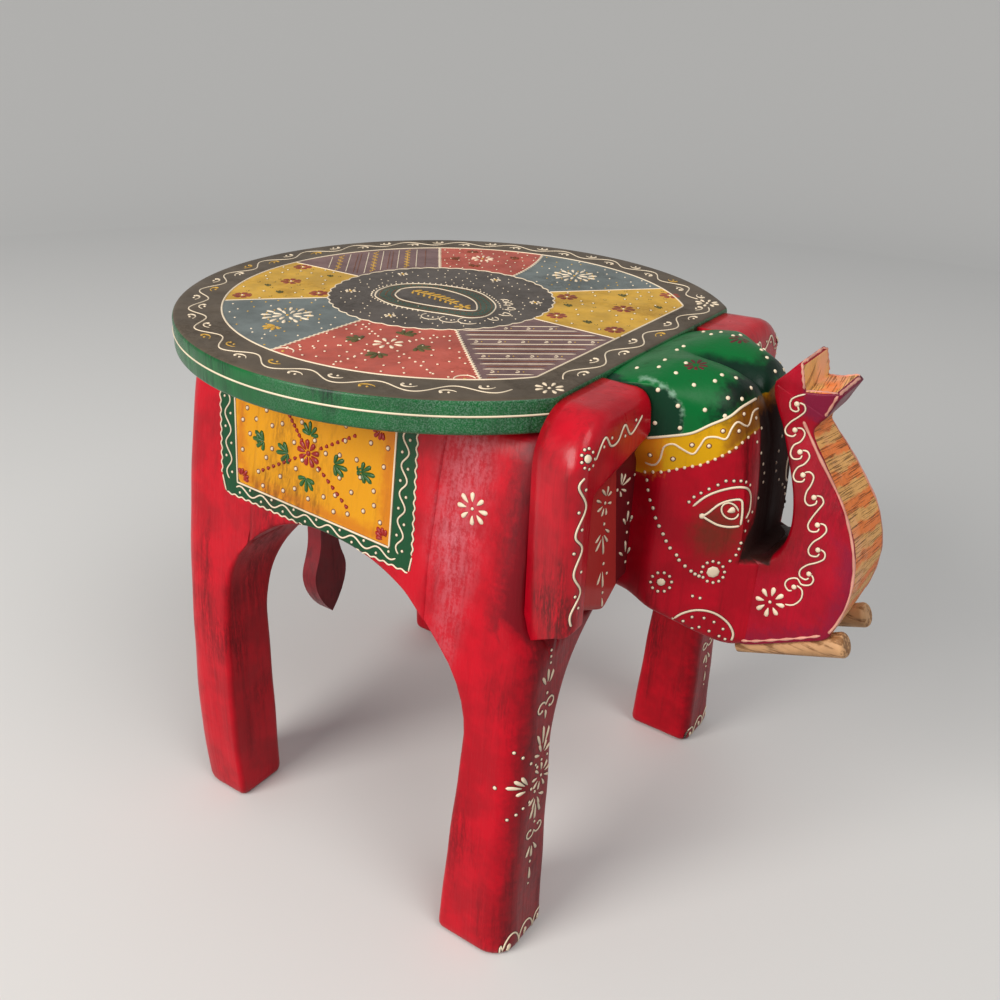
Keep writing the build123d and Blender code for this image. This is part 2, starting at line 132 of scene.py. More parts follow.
def addPiece(name, parts, materials, replaces=(), values=None, flip=True, weld=None):
    # a finished piece on the one body; values holds a number for each point, read by the materials
    mesh = addMesh(name, parts, materials)
    for key, value in (values or {}).items():
        mesh.attributes.new(key, "FLOAT", "POINT").data.foreach_set("value", value.astype(np.float32).ravel())
    if flip:
        turnOut(mesh, weld)
    mesh.shade_smooth()
    piece = bpy.data.objects.new(name, mesh)
    bpy.context.scene.collection.objects.link(piece)
    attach(piece, "root")
    if replaces:
        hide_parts(*replaces)
    return piece


def smooth(a, b, t):
    # 0 below a, 1 above b and an even S between
    t = np.clip((t - a) / (b - a), 0, 1)
    return t * t * (3 - 2 * t)


def least(*values):
    # the smallest of several arrays, point by point: inside all of several borders
    found = values[0]
    for value in values[1:]:
        found = np.minimum(found, value)
    return found


def carve(p, depth=0.35):
    # low waves left by the carver's knife, the same on left and right: slow sines push each coordinate
    x, y, z = p[..., 0], np.abs(p[..., 1]), p[..., 2]
    push = np.stack([np.sin(y / 17 + z / 13) + np.sin(z / 7.3 + 1),
                     (np.sin(z / 15 + x / 11) + np.sin(x / 8.1 + z / 29)) * np.tanh(p[..., 1] / 12),
                     np.sin(x / 19 + y / 12) * 0.4 + 0 * x], -1)
    return p + depth * push / 2


def sweptBlock(inner, outer, axis, low, high, radii, inset=0.0, across=14, along=8, arc=5):
    # stations of rounded four-sided sections: each spans from an inner to an outer point, and along axis
    # from low(points) to high(points); radii are for the corners inner-low, outer-low, outer-high, inner-high
    n = len(inner)
    radii = np.broadcast_to(radii, (n, 4)).astype(float)
    inset = np.broadcast_to(inset, n).astype(float)[:, None]
    span = np.linalg.norm(outer - inner, axis=1)[:, None]
    t, u = np.linspace(0, 1, across), np.linspace(0, 1, along)
    turn = np.linspace(0, np.pi / 2, arc + 2)[1:-1]
    sin, cos = np.sin(turn), np.cos(turn)
    r0, r1, r2, r3 = (radii[:, k:k + 1] for k in range(4))
    room = span - 2 * inset
    one = np.ones((n, 1))
    runs = [  # place from inner to outer, share from low to high, and shift from there
        (r0 + (room - r0 - r1) * t, one * 0 * t, one * 0 * t),
        (room - r1 + r1 * sin, one * 0 * sin, r1 - r1 * cos),
        (room * (one + 0 * u), one * u, r1 * (1 - u) - r2 * u),
        (room - r2 + r2 * cos, one + 0 * sin, -(r2 - r2 * sin)),
        (room - r2 - (room - r2 - r3) * t, one + 0 * t, one * 0 * t),
        (r3 - r3 * sin, one + 0 * sin, -(r3 - r3 * cos)),
        (0 * one * u, one * u[::-1], (r0 * (1 - u) - r3 * u)[:, ::-1]),
        (r0 - r0 * cos, one * 0 * sin, r0 - r0 * sin)]
    place, share, shift = (np.hstack(column) for column in zip(*runs))
    points = inner[:, None, :] + ((outer - inner) / span)[:, None, :] * (place + inset)[..., None]
    lo, hi = low(points) + inset, high(points) - inset
    points[..., axis] = lo + (hi - lo) * share + shift
    edge = np.repeat(np.arange(8), [run[0].shape[1] for run in runs])
    return points, edge


def node(tree, kind, inputs=None, **settings):
    # one shader node: settings are its own values, inputs are sockets to link or numbers to set
    made = tree.nodes.new("ShaderNode" + kind)
    for key, value in settings.items():
        setattr(made, key, value)
    for key, value in (inputs or {}).items():
        if isinstance(value, bpy.types.NodeSocket):
            tree.links.new(value, made.inputs[key])
        else:
            made.inputs[key].default_value = value
    return made


def maths(tree, operation, a, b=0.0, clamp=False):
    # one sum of two numbers or sockets
    return node(tree, "Math", {0: a, 1: b}, operation=operation, use_clamp=clamp).outputs[0]


def plus(tree, a, b, clamp=False):
    # a and b added
    return maths(tree, "ADD", a, b, clamp)


def times(tree, a, b, clamp=False):
    # a and b multiplied
    return maths(tree, "MULTIPLY", a, b, clamp)


def ramp(tree, value, low, high):
    # 0 where value is under low, 1 where it is over high, and an even S between
    ends = {"Value": value, "From Min": low, "From Max": high}
    return node(tree, "MapRange", ends, interpolation_type="SMOOTHSTEP").outputs[0]


def mixColour(tree, share, a, b):
    # colour a where share is 0 and colour b where it is 1
    return node(tree, "Mix", {0: share, 6: a, 7: b}, data_type="RGBA", blend_type="MIX").outputs[2]


def noise(tree, at, scale, detail=3.0, rough=0.6):
    # cloudy noise from 0 to 1 around 0.5
    cloud = {"Vector": at, "Scale": scale, "Detail": detail, "Roughness": rough}
    return node(tree, "TexNoise", cloud).outputs[0]


def stretched(tree, scale):
    # object coordinates in metres, scaled apart along the three axes
    at = node(tree, "TexCoord").outputs["Object"]
    return node(tree, "Mapping", {"Vector": at, "Scale": scale}).outputs[0]


def attribute(tree, name):
    # a number stored at the piece's points
    return node(tree, "Attribute", attribute_name=name).outputs["Fac"]


def colour(r, g, b):
    # 0-255 screen colour to the linear numbers that shaders use
    c = np.array([r, g, b]) / 255
    return tuple(np.where(c <= 0.04045, c / 12.92, ((c + 0.055) / 1.055) ** 2.4)) + (1.0,)


def makeRubbedPaint():
    # hand-rubbed paint over grained wood: a colour goes in, and out come that colour, darker in its streaks
    # and replaced by the dark one where patches and fibres are both high, a roughness and a height
    group = bpy.data.node_groups.new("rubbedPaint", "ShaderNodeTree")
    for key, kind, value in (("Colour", "Color", (0.5, 0, 0, 1)), ("Dark", "Color", (0.02, 0, 0, 1)),
                             ("Rub", "Float", 0.5), ("Streaks", "Float", 0.5), ("Shine", "Float", 0.3)):
        socket = group.interface.new_socket(name=key, in_out="INPUT", socket_type="NodeSocket" + kind)
        socket.default_value = value
    for key, kind in (("Colour", "Color"), ("Roughness", "Float"), ("Height", "Float")):
        group.interface.new_socket(name=key, in_out="OUTPUT", socket_type="NodeSocket" + kind)
    into, out = group.nodes.new("NodeGroupInput").outputs, group.nodes.new("NodeGroupOutput").inputs
    grain = noise(group, stretched(group, (420, 420, 22)), 1.0, 4.0, 0.65)  # fine upright fibres
    bands = noise(group, stretched(group, (90, 90, 9)), 1.0, 3.0, 0.6)
    patches = noise(group, stretched(group, (16, 16, 11)), 1.0, 5.0, 0.62)
    specks = noise(group, stretched(group, (900, 900, 260)), 1.0, 2.0, 0.7)
    worn = ramp(group, plus(group, patches, times(group, bands, 0.35)), 0.66, 0.86)
    fibres = plus(group, times(group, grain, 0.6), times(group, specks, 0.4))
    rub = times(group, worn, ramp(group, fibres, 0.36, 0.6))
    rub = times(group, rub, into["Rub"], True)
    streak = ramp(group, plus(group, times(group, grain, 0.5), times(group, bands, 0.5)), 0.5, 0.72)
    streak = times(group, times(group, streak, into["Streaks"]), 0.55)
    deep = mixColour(group, streak, into["Colour"], mixColour(group, 0.62, into["Colour"], into["Dark"]))
    group.links.new(mixColour(group, rub, deep, into["Dark"]), out["Colour"])
    rough = plus(group, into["Shine"], times(group, maths(group, "SUBTRACT", bands, 0.5), 0.35))
    group.links.new(plus(group, rough, times(group, rub, 0.25), True), out["Roughness"])
    rest = plus(group, times(group, specks, 0.15), times(group, bands, 0.9))
    group.links.new(plus(group, times(group, grain, 0.6), rest), out["Height"])
    return group


rubbedPaint = makeRubbedPaint()


def roughEdge(tree, value, at, wobble, soft=0.25):
    # a painted border: the signed distance in mm is shaken by fine noise and cut at 0
    shake = times(tree, maths(tree, "SUBTRACT", noise(tree, at, 260.0), 0.5), wobble)
    return ramp(tree, plus(tree, value, shake), -soft, soft)


def carvedBands(tree, at, tint):
    # bare wood: orange and tan bands by the sine of the distance along the trunk, under short dark cuts
    along = attribute(tree, "along")
    loose = plus(tree, along, times(tree, noise(tree, at, 70.0), 9.0))
    band = ramp(tree, maths(tree, "SINE", times(tree, loose, 2 * math.pi / 13)), -0.35, 0.45)
    sideways = node(tree, "SeparateXYZ", {0: at}).outputs[1]
    cutAt = {0: times(tree, along, 2.1), 1: times(tree, sideways, 42.0), 2: 0.0}
    cuts = ramp(tree, noise(tree, node(tree, "CombineXYZ", cutAt).outputs[0], 1.0, 2.0, 0.5), 0.55, 0.66)
    mixed = mixColour(tree, band, colour(244, 182, 106), colour(250, 136, 64))
    mixed = mixColour(tree, ramp(tree, noise(tree, at, 38.0, 2.0), 0.5, 0.7), mixed, colour(248, 176, 128))
    return mixColour(tree, times(tree, cuts, 0.55), mixed, colour(128, 78, 30)), cuts


def lengthwise(tree, at, tint):
    # brown strokes along x over the tusks: noise drawn out lengthwise, cut near its middle
    marks = noise(tree, stretched(tree, (34, 420, 420)), 1.0, 4.0, 0.6)
    worn = ramp(tree, plus(tree, marks, times(tree, noise(tree, at, 60.0), 0.5)), 0.72, 0.86)
    return mixColour(tree, times(tree, worn, 0.8), tint, colour(124, 78, 36)), worn


def speckledSheen(tree, at, tint):
    # painted sheen on the green: fine pale specks that stand in for reflected light, thick in some patches
    # and missing in others
    patch = ramp(tree, noise(tree, at, 11.0, 2.0), 0.42, 0.62)
    worn = times(tree, patch, ramp(tree, noise(tree, at, 1300.0, 3.0, 0.7), 0.42, 0.66))
    return mixColour(tree, times(tree, worn, 0.36), tint, colour(140, 178, 156)), worn


def paintedSheen(tree, at, tint):
    # painted sheen on the red: pale pink threads along the grain and fine specks that stand in for reflected
    # light, where the worn attribute is well above 0
    thread = times(tree, noise(tree, stretched(tree, (330, 330, 60)), 1.0, 4.0, 0.7), 0.6)
    fleck = times(tree, noise(tree, at, 620.0, 3.0, 0.7), 0.4)
    grainy = plus(tree, 0.16, times(tree, ramp(tree, plus(tree, thread, fleck), 0.4, 0.6), 0.74))
    patch = plus(tree, 0.45, times(tree, ramp(tree, noise(tree, at, 30.0, 3.0), 0.3, 0.6), 0.55))
    worn = times(tree, ramp(tree, attribute(tree, "worn"), 1.0, 20.0), patch)
    return mixColour(tree, times(tree, worn, grainy), tint, colour(206, 104, 114)), None


def paint(name, base, dark, amounts, vary=0.06, zones=(), over=None, coatRough=0.18, dull=None, gleam=0.34):
    # painted wood: amounts are how much rubbing, streaks, roughness, bump and lacquer it has, and vary how
    # far its tint wanders; zones are (attribute, colour, wobble, softness), each laid over the last where its
    # attribute is above 0; over draws on the colour and gives cuts for the height; dull is an attribute that
    # ends the gloss
    made = bpy.data.materials.new(name)
    made.use_nodes = True
    tree = made.node_tree
    shader = tree.nodes["Principled BSDF"]
    at = node(tree, "TexCoord").outputs["Object"]
    rub, streaks, shine, bump, coat = amounts
    base = colour(*base)[:3]
    low, high = (tuple(min(1, c * share) for c in base) + (1,) for share in (1 - 3 * vary, 1 + 2 * vary))
    tint = mixColour(tree, ramp(tree, noise(tree, at, 45.0, 3.0), 0.35, 0.65), low, high)
    for key, top, *edge in zones:
        tint = mixColour(tree, roughEdge(tree, attribute(tree, key), at, *edge), tint, colour(*top))
    tint, cuts = over(tree, at, tint) if over else (tint, None)
    rubbed = node(tree, "Group", node_tree=rubbedPaint)
    tree.links.new(tint, rubbed.inputs["Colour"])
    for key, value in (("Dark", colour(*dark)), ("Rub", rub), ("Streaks", streaks), ("Shine", shine)):
        rubbed.inputs[key].default_value = value
    tree.links.new(rubbed.outputs["Colour"], shader.inputs["Base Color"])
    tall, rough = rubbed.outputs["Height"], rubbed.outputs["Roughness"]
    if cuts:
        tall = maths(tree, "SUBTRACT", tall, times(tree, cuts, 1.6))
    if dull:
        rough = plus(tree, rough, times(tree, ramp(tree, attribute(tree, dull), -1.5, 0.5), 0.45), True)
    tree.links.new(rough, shader.inputs["Roughness"])
    relief = node(tree, "Bump", {"Height": tall, "Strength": bump, "Distance": 0.0006})
    tree.links.new(relief.outputs[0], shader.inputs["Normal"])
    for key, value in (("Coat Weight", coat), ("Specular IOR Level", gleam), ("Coat Roughness", coatRough)):
        shader.inputs[key].default_value = value
    return made


# base colour, dark colour, then the amounts of rubbing, streaks, roughness, bump and lacquer
matt = (0.5, 0.2, 0.5, 0.15, 0.0)
plain = (0.4, 0.2, 0.5, 0.15, 0.0)
brushed = (0.35, 0.1, 0.4, 0.1, 0.2)
faded = (0.35, 0.1, 0.5, 0.1, 0.0)
flat = (0.3, 0.1, 0.45, 0.1, 0.1)
# the red carries a painted pale sheen over the flanks and shoulder, standing in for reflected light
red = {"base": (192, 0, 28), "dark": (52, 4, 10), "amounts": (0.6, 0.7, 0.4, 0.8, 0.16), "over": paintedSheen,
       "coatRough": 0.32}
# its shade zone is painted shade on the shoulder beside the ears and on the legs' fronts
redPaint = paint("redPaint", zones=[("shade", (122, 2, 20), 16.0, 8.0)], gleam=0.16, **red)
clothZones = [("cloth", (4, 72, 38), 0.6), ("field", (228, 156, 14), 0.6),
              ("fieldWarm", (212, 126, 16), 9.0, 4.0)]
flankPaint = paint("flankPaint", gleam=0.18, zones=clothZones, **red)
# darker zones here are painted shade: the band's front, the cap's front slope, the valley between its domes,
# its near wall below the ridge, and the dark brown gap behind the trunk
headPaint = paint("headPaint", (184, 4, 32), (44, 8, 10), (0.6, 0.6, 0.4, 0.4, 0.0), dull="gapShade",
                  gleam=0.2, zones=[
    ("bandSide", (230, 172, 12), 1.0), ("bandWarm", (236, 142, 26), 14.0, 4.0),
    ("bandShade", (148, 90, 16), 5.0, 4.0), ("capSide", (0, 104, 46), 0.8),
    ("capShade", (4, 34, 22), 12.0, 5.0), ("capDipShade", (0, 40, 24), 4.0, 3.0),
    ("capWallShade", (0, 52, 30), 2.5, 0.8), ("capWear", (130, 170, 142), 5.0, 1.1),
    ("faceRub", (118, 40, 26), 9.0, 6.0), ("gapShade", (50, 25, 20), 3.0, 1.2)])
tailPaint = paint("tailPaint", (128, 6, 24), (40, 6, 10), (0.7, 0.8, 0.42, 0.5, 0.12))
# the ear's darker strip next to the head is painted shade
earPaint = paint("earPaint", (190, 4, 30), (50, 12, 10), (0.8, 0.8, 0.34, 0.5, 0.3), dull="hollow",
                 gleam=0.22, zones=[("hollow", (180, 46, 42), 3.0), ("neckShade", (106, 2, 14), 1.0)])
# the darker reds along the trunk's inner and front edges and the dark brown at its root in the gap are
# painted shade
trunkPaint = paint("trunkPaint", (170, 2, 34), (60, 6, 16), (0.6, 0.9, 0.4, 0.8, 0.1), gleam=0.18, zones=[
    ("innerShade", (138, 0, 18), 8.0, 6.0), ("edgeShade", (140, 14, 48), 13.0, 6.0),
    ("wedge", (128, 20, 54), 8.0, 1.5), ("gapFloor", (50, 25, 20), 1.0, 0.6)])
# the green edge carries a painted speckled sheen
greenEdge = paint("greenEdge", (0, 96, 42), (4, 34, 20), (1.0, 0.9, 0.3, 0.4, 0.3), over=speckledSheen,
                  coatRough=0.25, gleam=0.25)
seatGround = paint("seatGround", (92, 80, 66), (50, 40, 30), matt)
seatGrey = paint("seatGrey", (88, 80, 74), (44, 38, 32), plain)
seatCoral = paint("seatCoral", (190, 88, 72), (120, 56, 40), matt)
seatPlum = paint("seatPlum", (124, 96, 94), (70, 48, 46), plain)
seatYellow = paint("seatYellow", (216, 168, 60), (150, 100, 40), plain)
seatBlue = paint("seatBlue", (112, 120, 118), (66, 64, 60), plain)
carvedWood = paint("carvedWood", (206, 130, 66), (124, 66, 28), (0.25, 0.4, 0.55, 0.9, 0.0), over=carvedBands)
tuskPaint = paint("tuskPaint", (206, 158, 112), (120, 74, 36), (0.3, 0.1, 0.55, 0.5, 0.0), over=lengthwise)
innerWood = paint("innerWood", (196, 156, 104), (120, 80, 44), (0.2, 0.8, 0.6, 0.4, 0.0))
tones = {  # the ornament's paints, in the order of their slots
    "cream": paint("relief", (246, 226, 196), (204, 160, 120), (0.2, 0.1, 0.4, 0.1, 0.2), 0.03),
    "gold": paint("goldPaint", (206, 160, 60), (130, 88, 30), (0.3, 0.1, 0.32, 0.1, 0.3), 0.05),
    "brick": paint("brickPaint", (158, 22, 16), (80, 12, 10), brushed, 0.05),
    "leaf": paint("leafPaint", (40, 96, 34), (10, 44, 24), brushed, 0.05),
    "umber": paint("umberPaint", (120, 62, 30), (60, 30, 18), (0.35, 0.1, 0.45, 0.1, 0.1), 0.05),
    "soot": paint("sootPaint", (56, 8, 12), (40, 8, 10), flat, 0.05),
    "blush": paint("blushPaint", (226, 160, 140), (170, 80, 60), (0.5, 0.3, 0.45, 0.3, 0.1)),
    "maroon": paint("maroonPaint", (104, 30, 38), (60, 30, 24), (0.6, 0.3, 0.5, 0.2, 0.0)),
    "olive": paint("olivePaint", (92, 88, 48), (60, 50, 30), faded, 0.05),
    "moss": paint("mossPaint", (66, 84, 70), (44, 44, 36), faded, 0.05),
    "rust": paint("rustPaint", (150, 66, 48), (100, 50, 36), (0.6, 0.2, 0.5, 0.1, 0.0), 0.1),
}


def makeSteel():
    # brushed steel: noise drawn out around the upright axis sets its grey and its roughness
    made = bpy.data.materials.new("screwSteel")
    made.use_nodes = True
    tree = made.node_tree
    shader = tree.nodes["Principled BSDF"]
    shader.inputs["Metallic"].default_value = 1.0
    strokes = noise(tree, stretched(tree, (300, 300, 1500)), 1.0)
    grey = mixColour(tree, strokes, (0.35, 0.34, 0.32, 1), (0.62, 0.61, 0.58, 1))
    tree.links.new(grey, shader.inputs["Base Color"])
    tree.links.new(ramp(tree, strokes, -0.4, 1.6), shader.inputs["Roughness"])
    return made


screwSteel = makeSteel()
print("materials done")

body = {
    "rump": -104.0, "rearLegFront": -67.0, "rearSeam": -50.0, "frontSeam": 69.0,
    "legFront": 131.0, "nose": 120.0, "frontLegBack": 97.0, "frontFootBack": 88.0,
    "top": 283.5, "topHalf": 97.0, "tunnelHalf": 90.0, "tunnelSpring": 120.0, "tunnelCrown": 198.0,
    "archCrown": 204.0, "rearSpring": 143.0, "frontSpring": 125.0, "rearFoot": 123.0, "frontFoot": 130.0,
    "knee": (90, 125), "flank": (192, 115.3), "haunchSeam": 183.6, "shoulderSeam": 180.5,
    "wallShare": 0.62,  # the part of a leg section's turn that goes up the flank, before it crosses the top
}
cloth = {  # the saddle cloth, drawn on an upright plane: it lies on the flank where the camera sees it
    "plane": 109.0,
    "field": [(-59, 283), (-64, 212), (41.6, 208), (48.5, 283)],
    "hem": [((-69.5, 283), (-75.5, 212)), ((-74, 203.6), (53.6, 198.2)), ((55, 200), (60.4, 283))],
    "fieldLine": [(-59.2, 281), (-64, 212), (41.6, 208), (48.3, 281)],
    "hemLine": [(-69.5, 281), (-75.5, 214), (-73.6, 203.6), (-20, 201.6), (53.6, 198.2), (56, 208),
                (60.2, 281)],
    "borders": [[(-64.6, 281), (-70, 212)], [(-66, 208.2), (46, 203.6)], [(47.6, 206), (54.4, 281)]],
    "heart": (-10, 244),
    "rays": [(-42, 226), (13, 223), (20, 261), (-22, 262)],
    "sprigs": [(-41, 242, 3.14, 9), (-24, 240, 3.3, 9.5), (7, 243, -0.1, 9.5), (25, 244, 0.0, 9),
               (-8, 254, 1.5, 8.5), (-12.5, 230, -1.6, 9), (-44, 242, 3.14, 4), (22, 244, 0, 4)],
    "cornerFans": [(-61.5, 215, 0.8), (39.5, 211, 2.3), (39.5, 270.5, 3.9), (-57, 279, -0.9)],
    "clear": [(-10, 244), (-46, 242), (-29, 242), (11, 242), (30, 244), (-5, 259), (-13, 225), (-57, 219),
              (34, 215), (38, 270), (-42, 226), (-26, 235), (13, 223), (4, 233), (20, 261), (5, 252),
              (-22, 262), (-17, 254)],
    "shoulderFlower": (91, 245),
}


def outerHalf(z, foot):
    # half width of the body at height z: the cubic through the foot, knee, flank and top
    heights, halves = zip((0, foot), body["knee"], body["flank"], (body["top"], body["topHalf"]))
    return np.polyval(np.polyfit(heights, halves, 3), z)


def quarter(z, spring):
    # share of an arch's reach that is left at height z: a quarter ellipse from its spring to the crown
    rise = np.clip((z - spring) / (body["archCrown"] - spring), 0, 1)
    return np.sqrt(1 - rise ** 2)


def rearArch(z):
    # front of the rear leg: upright, then a quarter ellipse back to the crown, cut at the seam
    return np.minimum(body["rearLegFront"] * quarter(z, body["rearSpring"]), body["rearSeam"])


def frontArch(z):
    # back of the front leg: leaning from the foot, then a quarter ellipse to the crown, cut at the seam
    spring, foot = body["frontSpring"], body["frontFootBack"]
    lean = foot + (body["frontLegBack"] - foot) * np.clip(z / spring, 0, 1)
    return np.maximum(lean * quarter(z, spring), body["frontSeam"])


def legStations(foot):
    # pairs of points, tunnel side and outer side, from the right foot over the back to the left foot: inside
    # upright, then round the tunnel's quarter ellipse, and outside up the flank and over the top
    spring, crown, half = body["tunnelSpring"], body["tunnelCrown"], body["tunnelHalf"]
    rise = np.concatenate([[0, 0.4, 1.2, 2.5, 4.5, 8], np.linspace(14, spring, 16)])
    turn = np.linspace(0, np.pi / 2, 31)[1:]
    climbed = turn / (np.pi / 2)
    up = np.minimum(climbed / body["wallShare"], 1)
    z = spring + (body["top"] - spring) * up
    slide = np.clip((climbed - body["wallShare"]) / (1 - body["wallShare"]), 0, 1)
    inner = np.stack([np.concatenate([half + 0 * rise, half * np.cos(turn)]),
                      np.concatenate([rise, spring + (crown - spring) * np.sin(turn)])])
    over = np.where(up < 1, outerHalf(z, foot), body["topHalf"] * (1 - slide))
    outer = np.stack([np.concatenate([outerHalf(rise, foot), over]), np.concatenate([rise, z])])
    right = [np.stack([0 * y, -y, z], 1) for y, z in (inner, outer)]
    feet = [2.6, 1.5, 0.8, 0.3, 0.05, 0]  # insets that round the feet's edges
    inset = np.concatenate([feet, np.zeros(len(right[0]) - len(feet))])
    flip = np.array([1, -1, 1])
    sides = [np.concatenate([side, side[-2::-1] * flip]) for side in right]
    return sides + [np.concatenate([inset, inset[-2::-1]])]


def legRadii(stations, corners, seamHeight):
    # corner radii; those marked inner or outer fade away where a section meets the flat seam face
    fades = {None: np.ones(len(stations[0]))}
    for key, side in zip(("inner", "outer"), stations):
        fades[key] = 1 - smooth(seamHeight - 22, seamHeight - 1, side[:, 2])
    return np.stack([0.3 + (radius - 0.3) * fades[fade] for radius, fade in corners], 1)


def seenOn(points, plane):
    # where the sight lines through the points meet the upright plane at that distance to the right; left-hand
    # points are mirrored first
    p = points * (1, 0, 1) - np.abs(points) * (0, 1, 0)
    return eyeAt + (p - eyeAt) * ((-plane - eyeAt[1]) / (p[:, 1] - eyeAt[1]))[:, None]


def sheenAt(p):
    # above 0 where a hand's breadth of the flanks gets the painted pale sheen, narrowing and fading down the
    # front legs
    pale = 22 - 0.9 * np.abs(p[:, 0] - 82) - 0.16 * np.clip(225 - p[:, 2], 0, None)
    return np.where(np.abs(p[:, 1]) > outerHalf(p[:, 2], body["frontFoot"]) - 6, pale, -9.0)


def clothValues(parts):
    # how far inside the painted cloth, and inside its yellow field, each point is in mm: the least distance
    # to three edges, on the body's outer skin alone
    p = pointsOf(parts)
    seen = seenOn(p, cloth["plane"])

    def within(edges):
        # the least distance to the left of the edges, each from its first point to its second
        found = []
        for (ax, az), (bx, bz) in edges:
            turned = (bx - ax) * (seen[:, 2] - az) - (bz - az) * (seen[:, 0] - ax)
            found.append(turned / math.hypot(bx - ax, bz - az))
        onSkin = (np.abs(p[:, 1]) > outerHalf(p[:, 2], 126.0) - 5) & (p[:, 2] > 150)
        return np.where(onSkin, np.min(found, 0), -9.0)

    field = within(list(zip(cloth["field"][:-1], cloth["field"][1:])))
    painted = within(cloth["hem"])
    return {"cloth": painted, "field": field, "fieldWarm": np.minimum(7 - field, 4 * field),
            # worn holds the painted pale sheen, kept off the cloth
            "worn": np.minimum(sheenAt(p), -4 * painted)}


def shoulderFront(p):
    # front of the leg, which steps back to the ear's seat: at once beside the head, and slowly further out
    y, z = np.abs(p[..., 1]), p[..., 2]
    outside = smooth(99, 107, y)
    stepped = (1 - outside) * smooth(186.5, 190.5, z) + outside * smooth(172, 201, z)
    return body["nose"] + (body["legFront"] - body["nose"]) * (1 - stepped)


def bellyLoops():
    # sections across the belly: up one flank, over the top, down the other, and back along the soffit,
    # which is the higher of the side arch's and the tunnel's heights
    rearSeam, frontSeam, top = body["rearSeam"], body["frontSeam"], body["top"]
    x = np.linspace(rearSeam, frontSeam, 46)[:, None]
    archReach = np.where(x < 0, -body["rearLegFront"], body["frontLegBack"])
    spring = np.where(x < 0, body["rearSpring"], body["frontSpring"])
    low = spring + (body["archCrown"] - spring) * np.sqrt(1 - (x / archReach) ** 2)
    # how far the flank's lower corner is rounded, almost nothing at the seams
    edge = 0.3 + 2.9 * smooth(0, 16, np.minimum(x - rearSeam, frontSeam - x))
    foot = body["rearFoot"] + (body["frontFoot"] - body["rearFoot"]) * smooth(rearSeam, frontSeam, x[:, 0])
    z = low + edge + (top - low - edge) * np.linspace(0, 1, 22)
    wall = np.stack([x + 0 * z, -np.stack([outerHalf(row, f) for row, f in zip(z, foot)]), z], -1)
    over = np.linspace(-1, 1, 12)[1:-1] * body["topHalf"]
    cover = np.stack([x + 0 * over, 0 * x + over, top + 0 * x + 0 * over], -1)
    half = -wall[:, :1, 1]
    y = half * np.sin(np.linspace(np.pi / 2, -np.pi / 2, 61))
    inTunnel = np.sqrt(np.clip(1 - (y / body["tunnelHalf"]) ** 2, 0, 1))
    tunnel = body["tunnelSpring"] + (body["tunnelCrown"] - body["tunnelSpring"]) * inTunnel
    gap = np.clip(half - np.abs(y), 0, edge)
    z = np.maximum(low, tunnel) + edge - np.sqrt(edge ** 2 - (edge - gap) ** 2)
    soffit = np.stack([x + 0 * y, y, z], -1)[:, 1:-1]
    return np.concatenate([wall, cover, (wall * (1, -1, 1))[:, ::-1], soffit], 1)


rear = legStations(body["rearFoot"])
rearRadii = legRadii(rear, [(5, None), (13, None), (3.2, "outer"), (4, "inner")], body["haunchSeam"])
haunchLoops, _ = sweptBlock(rear[0], rear[1], 0, lambda p: body["rump"] + 0 * p[..., 2],
                            lambda p: rearArch(p[..., 2]), rearRadii, rear[2], across=30)
haunchParts = tube(carve(haunchLoops))
haunch = addPiece("haunch", haunchParts, [flankPaint], ["haunch_block"],
                  clothValues(haunchParts))

front = legStations(body["frontFoot"])
frontRadii = legRadii(front, [(4, "inner"), (3.2, "outer"), (8, None), (6, None)], body["shoulderSeam"])
frontRadii[:, 2] += 5 * (1 - smooth(200, 230, front[1][:, 2]))  # the leg's outer front corner is rounder
shoulderLoops, _ = sweptBlock(front[0], front[1], 0, lambda p: frontArch(p[..., 2]), shoulderFront,
                              frontRadii, front[2], across=30)
shoulderParts = tube(carve(shoulderLoops))
p = pointsOf(shoulderParts)
# painted shade: darker red on the shoulder beside the ears and on the legs' front faces
byEars = np.where(p[:, 2] > 190, p[:, 0] - 108, -20.0)
shoulderValues = {"worn": sheenAt(p), "shade": np.maximum(byEars, p[:, 0] - 128)}  # worn holds the painted pale sheen; shade is painted shade by the ears and also down the legs' fronts
shoulder = addPiece("shoulder", shoulderParts, [redPaint], ["shoulder_block"], shoulderValues)

bellyParts = tube(carve(bellyLoops()))
belly = addPiece("belly", bellyParts, [flankPaint], ["belly_block"], clothValues(bellyParts))
print("body done")

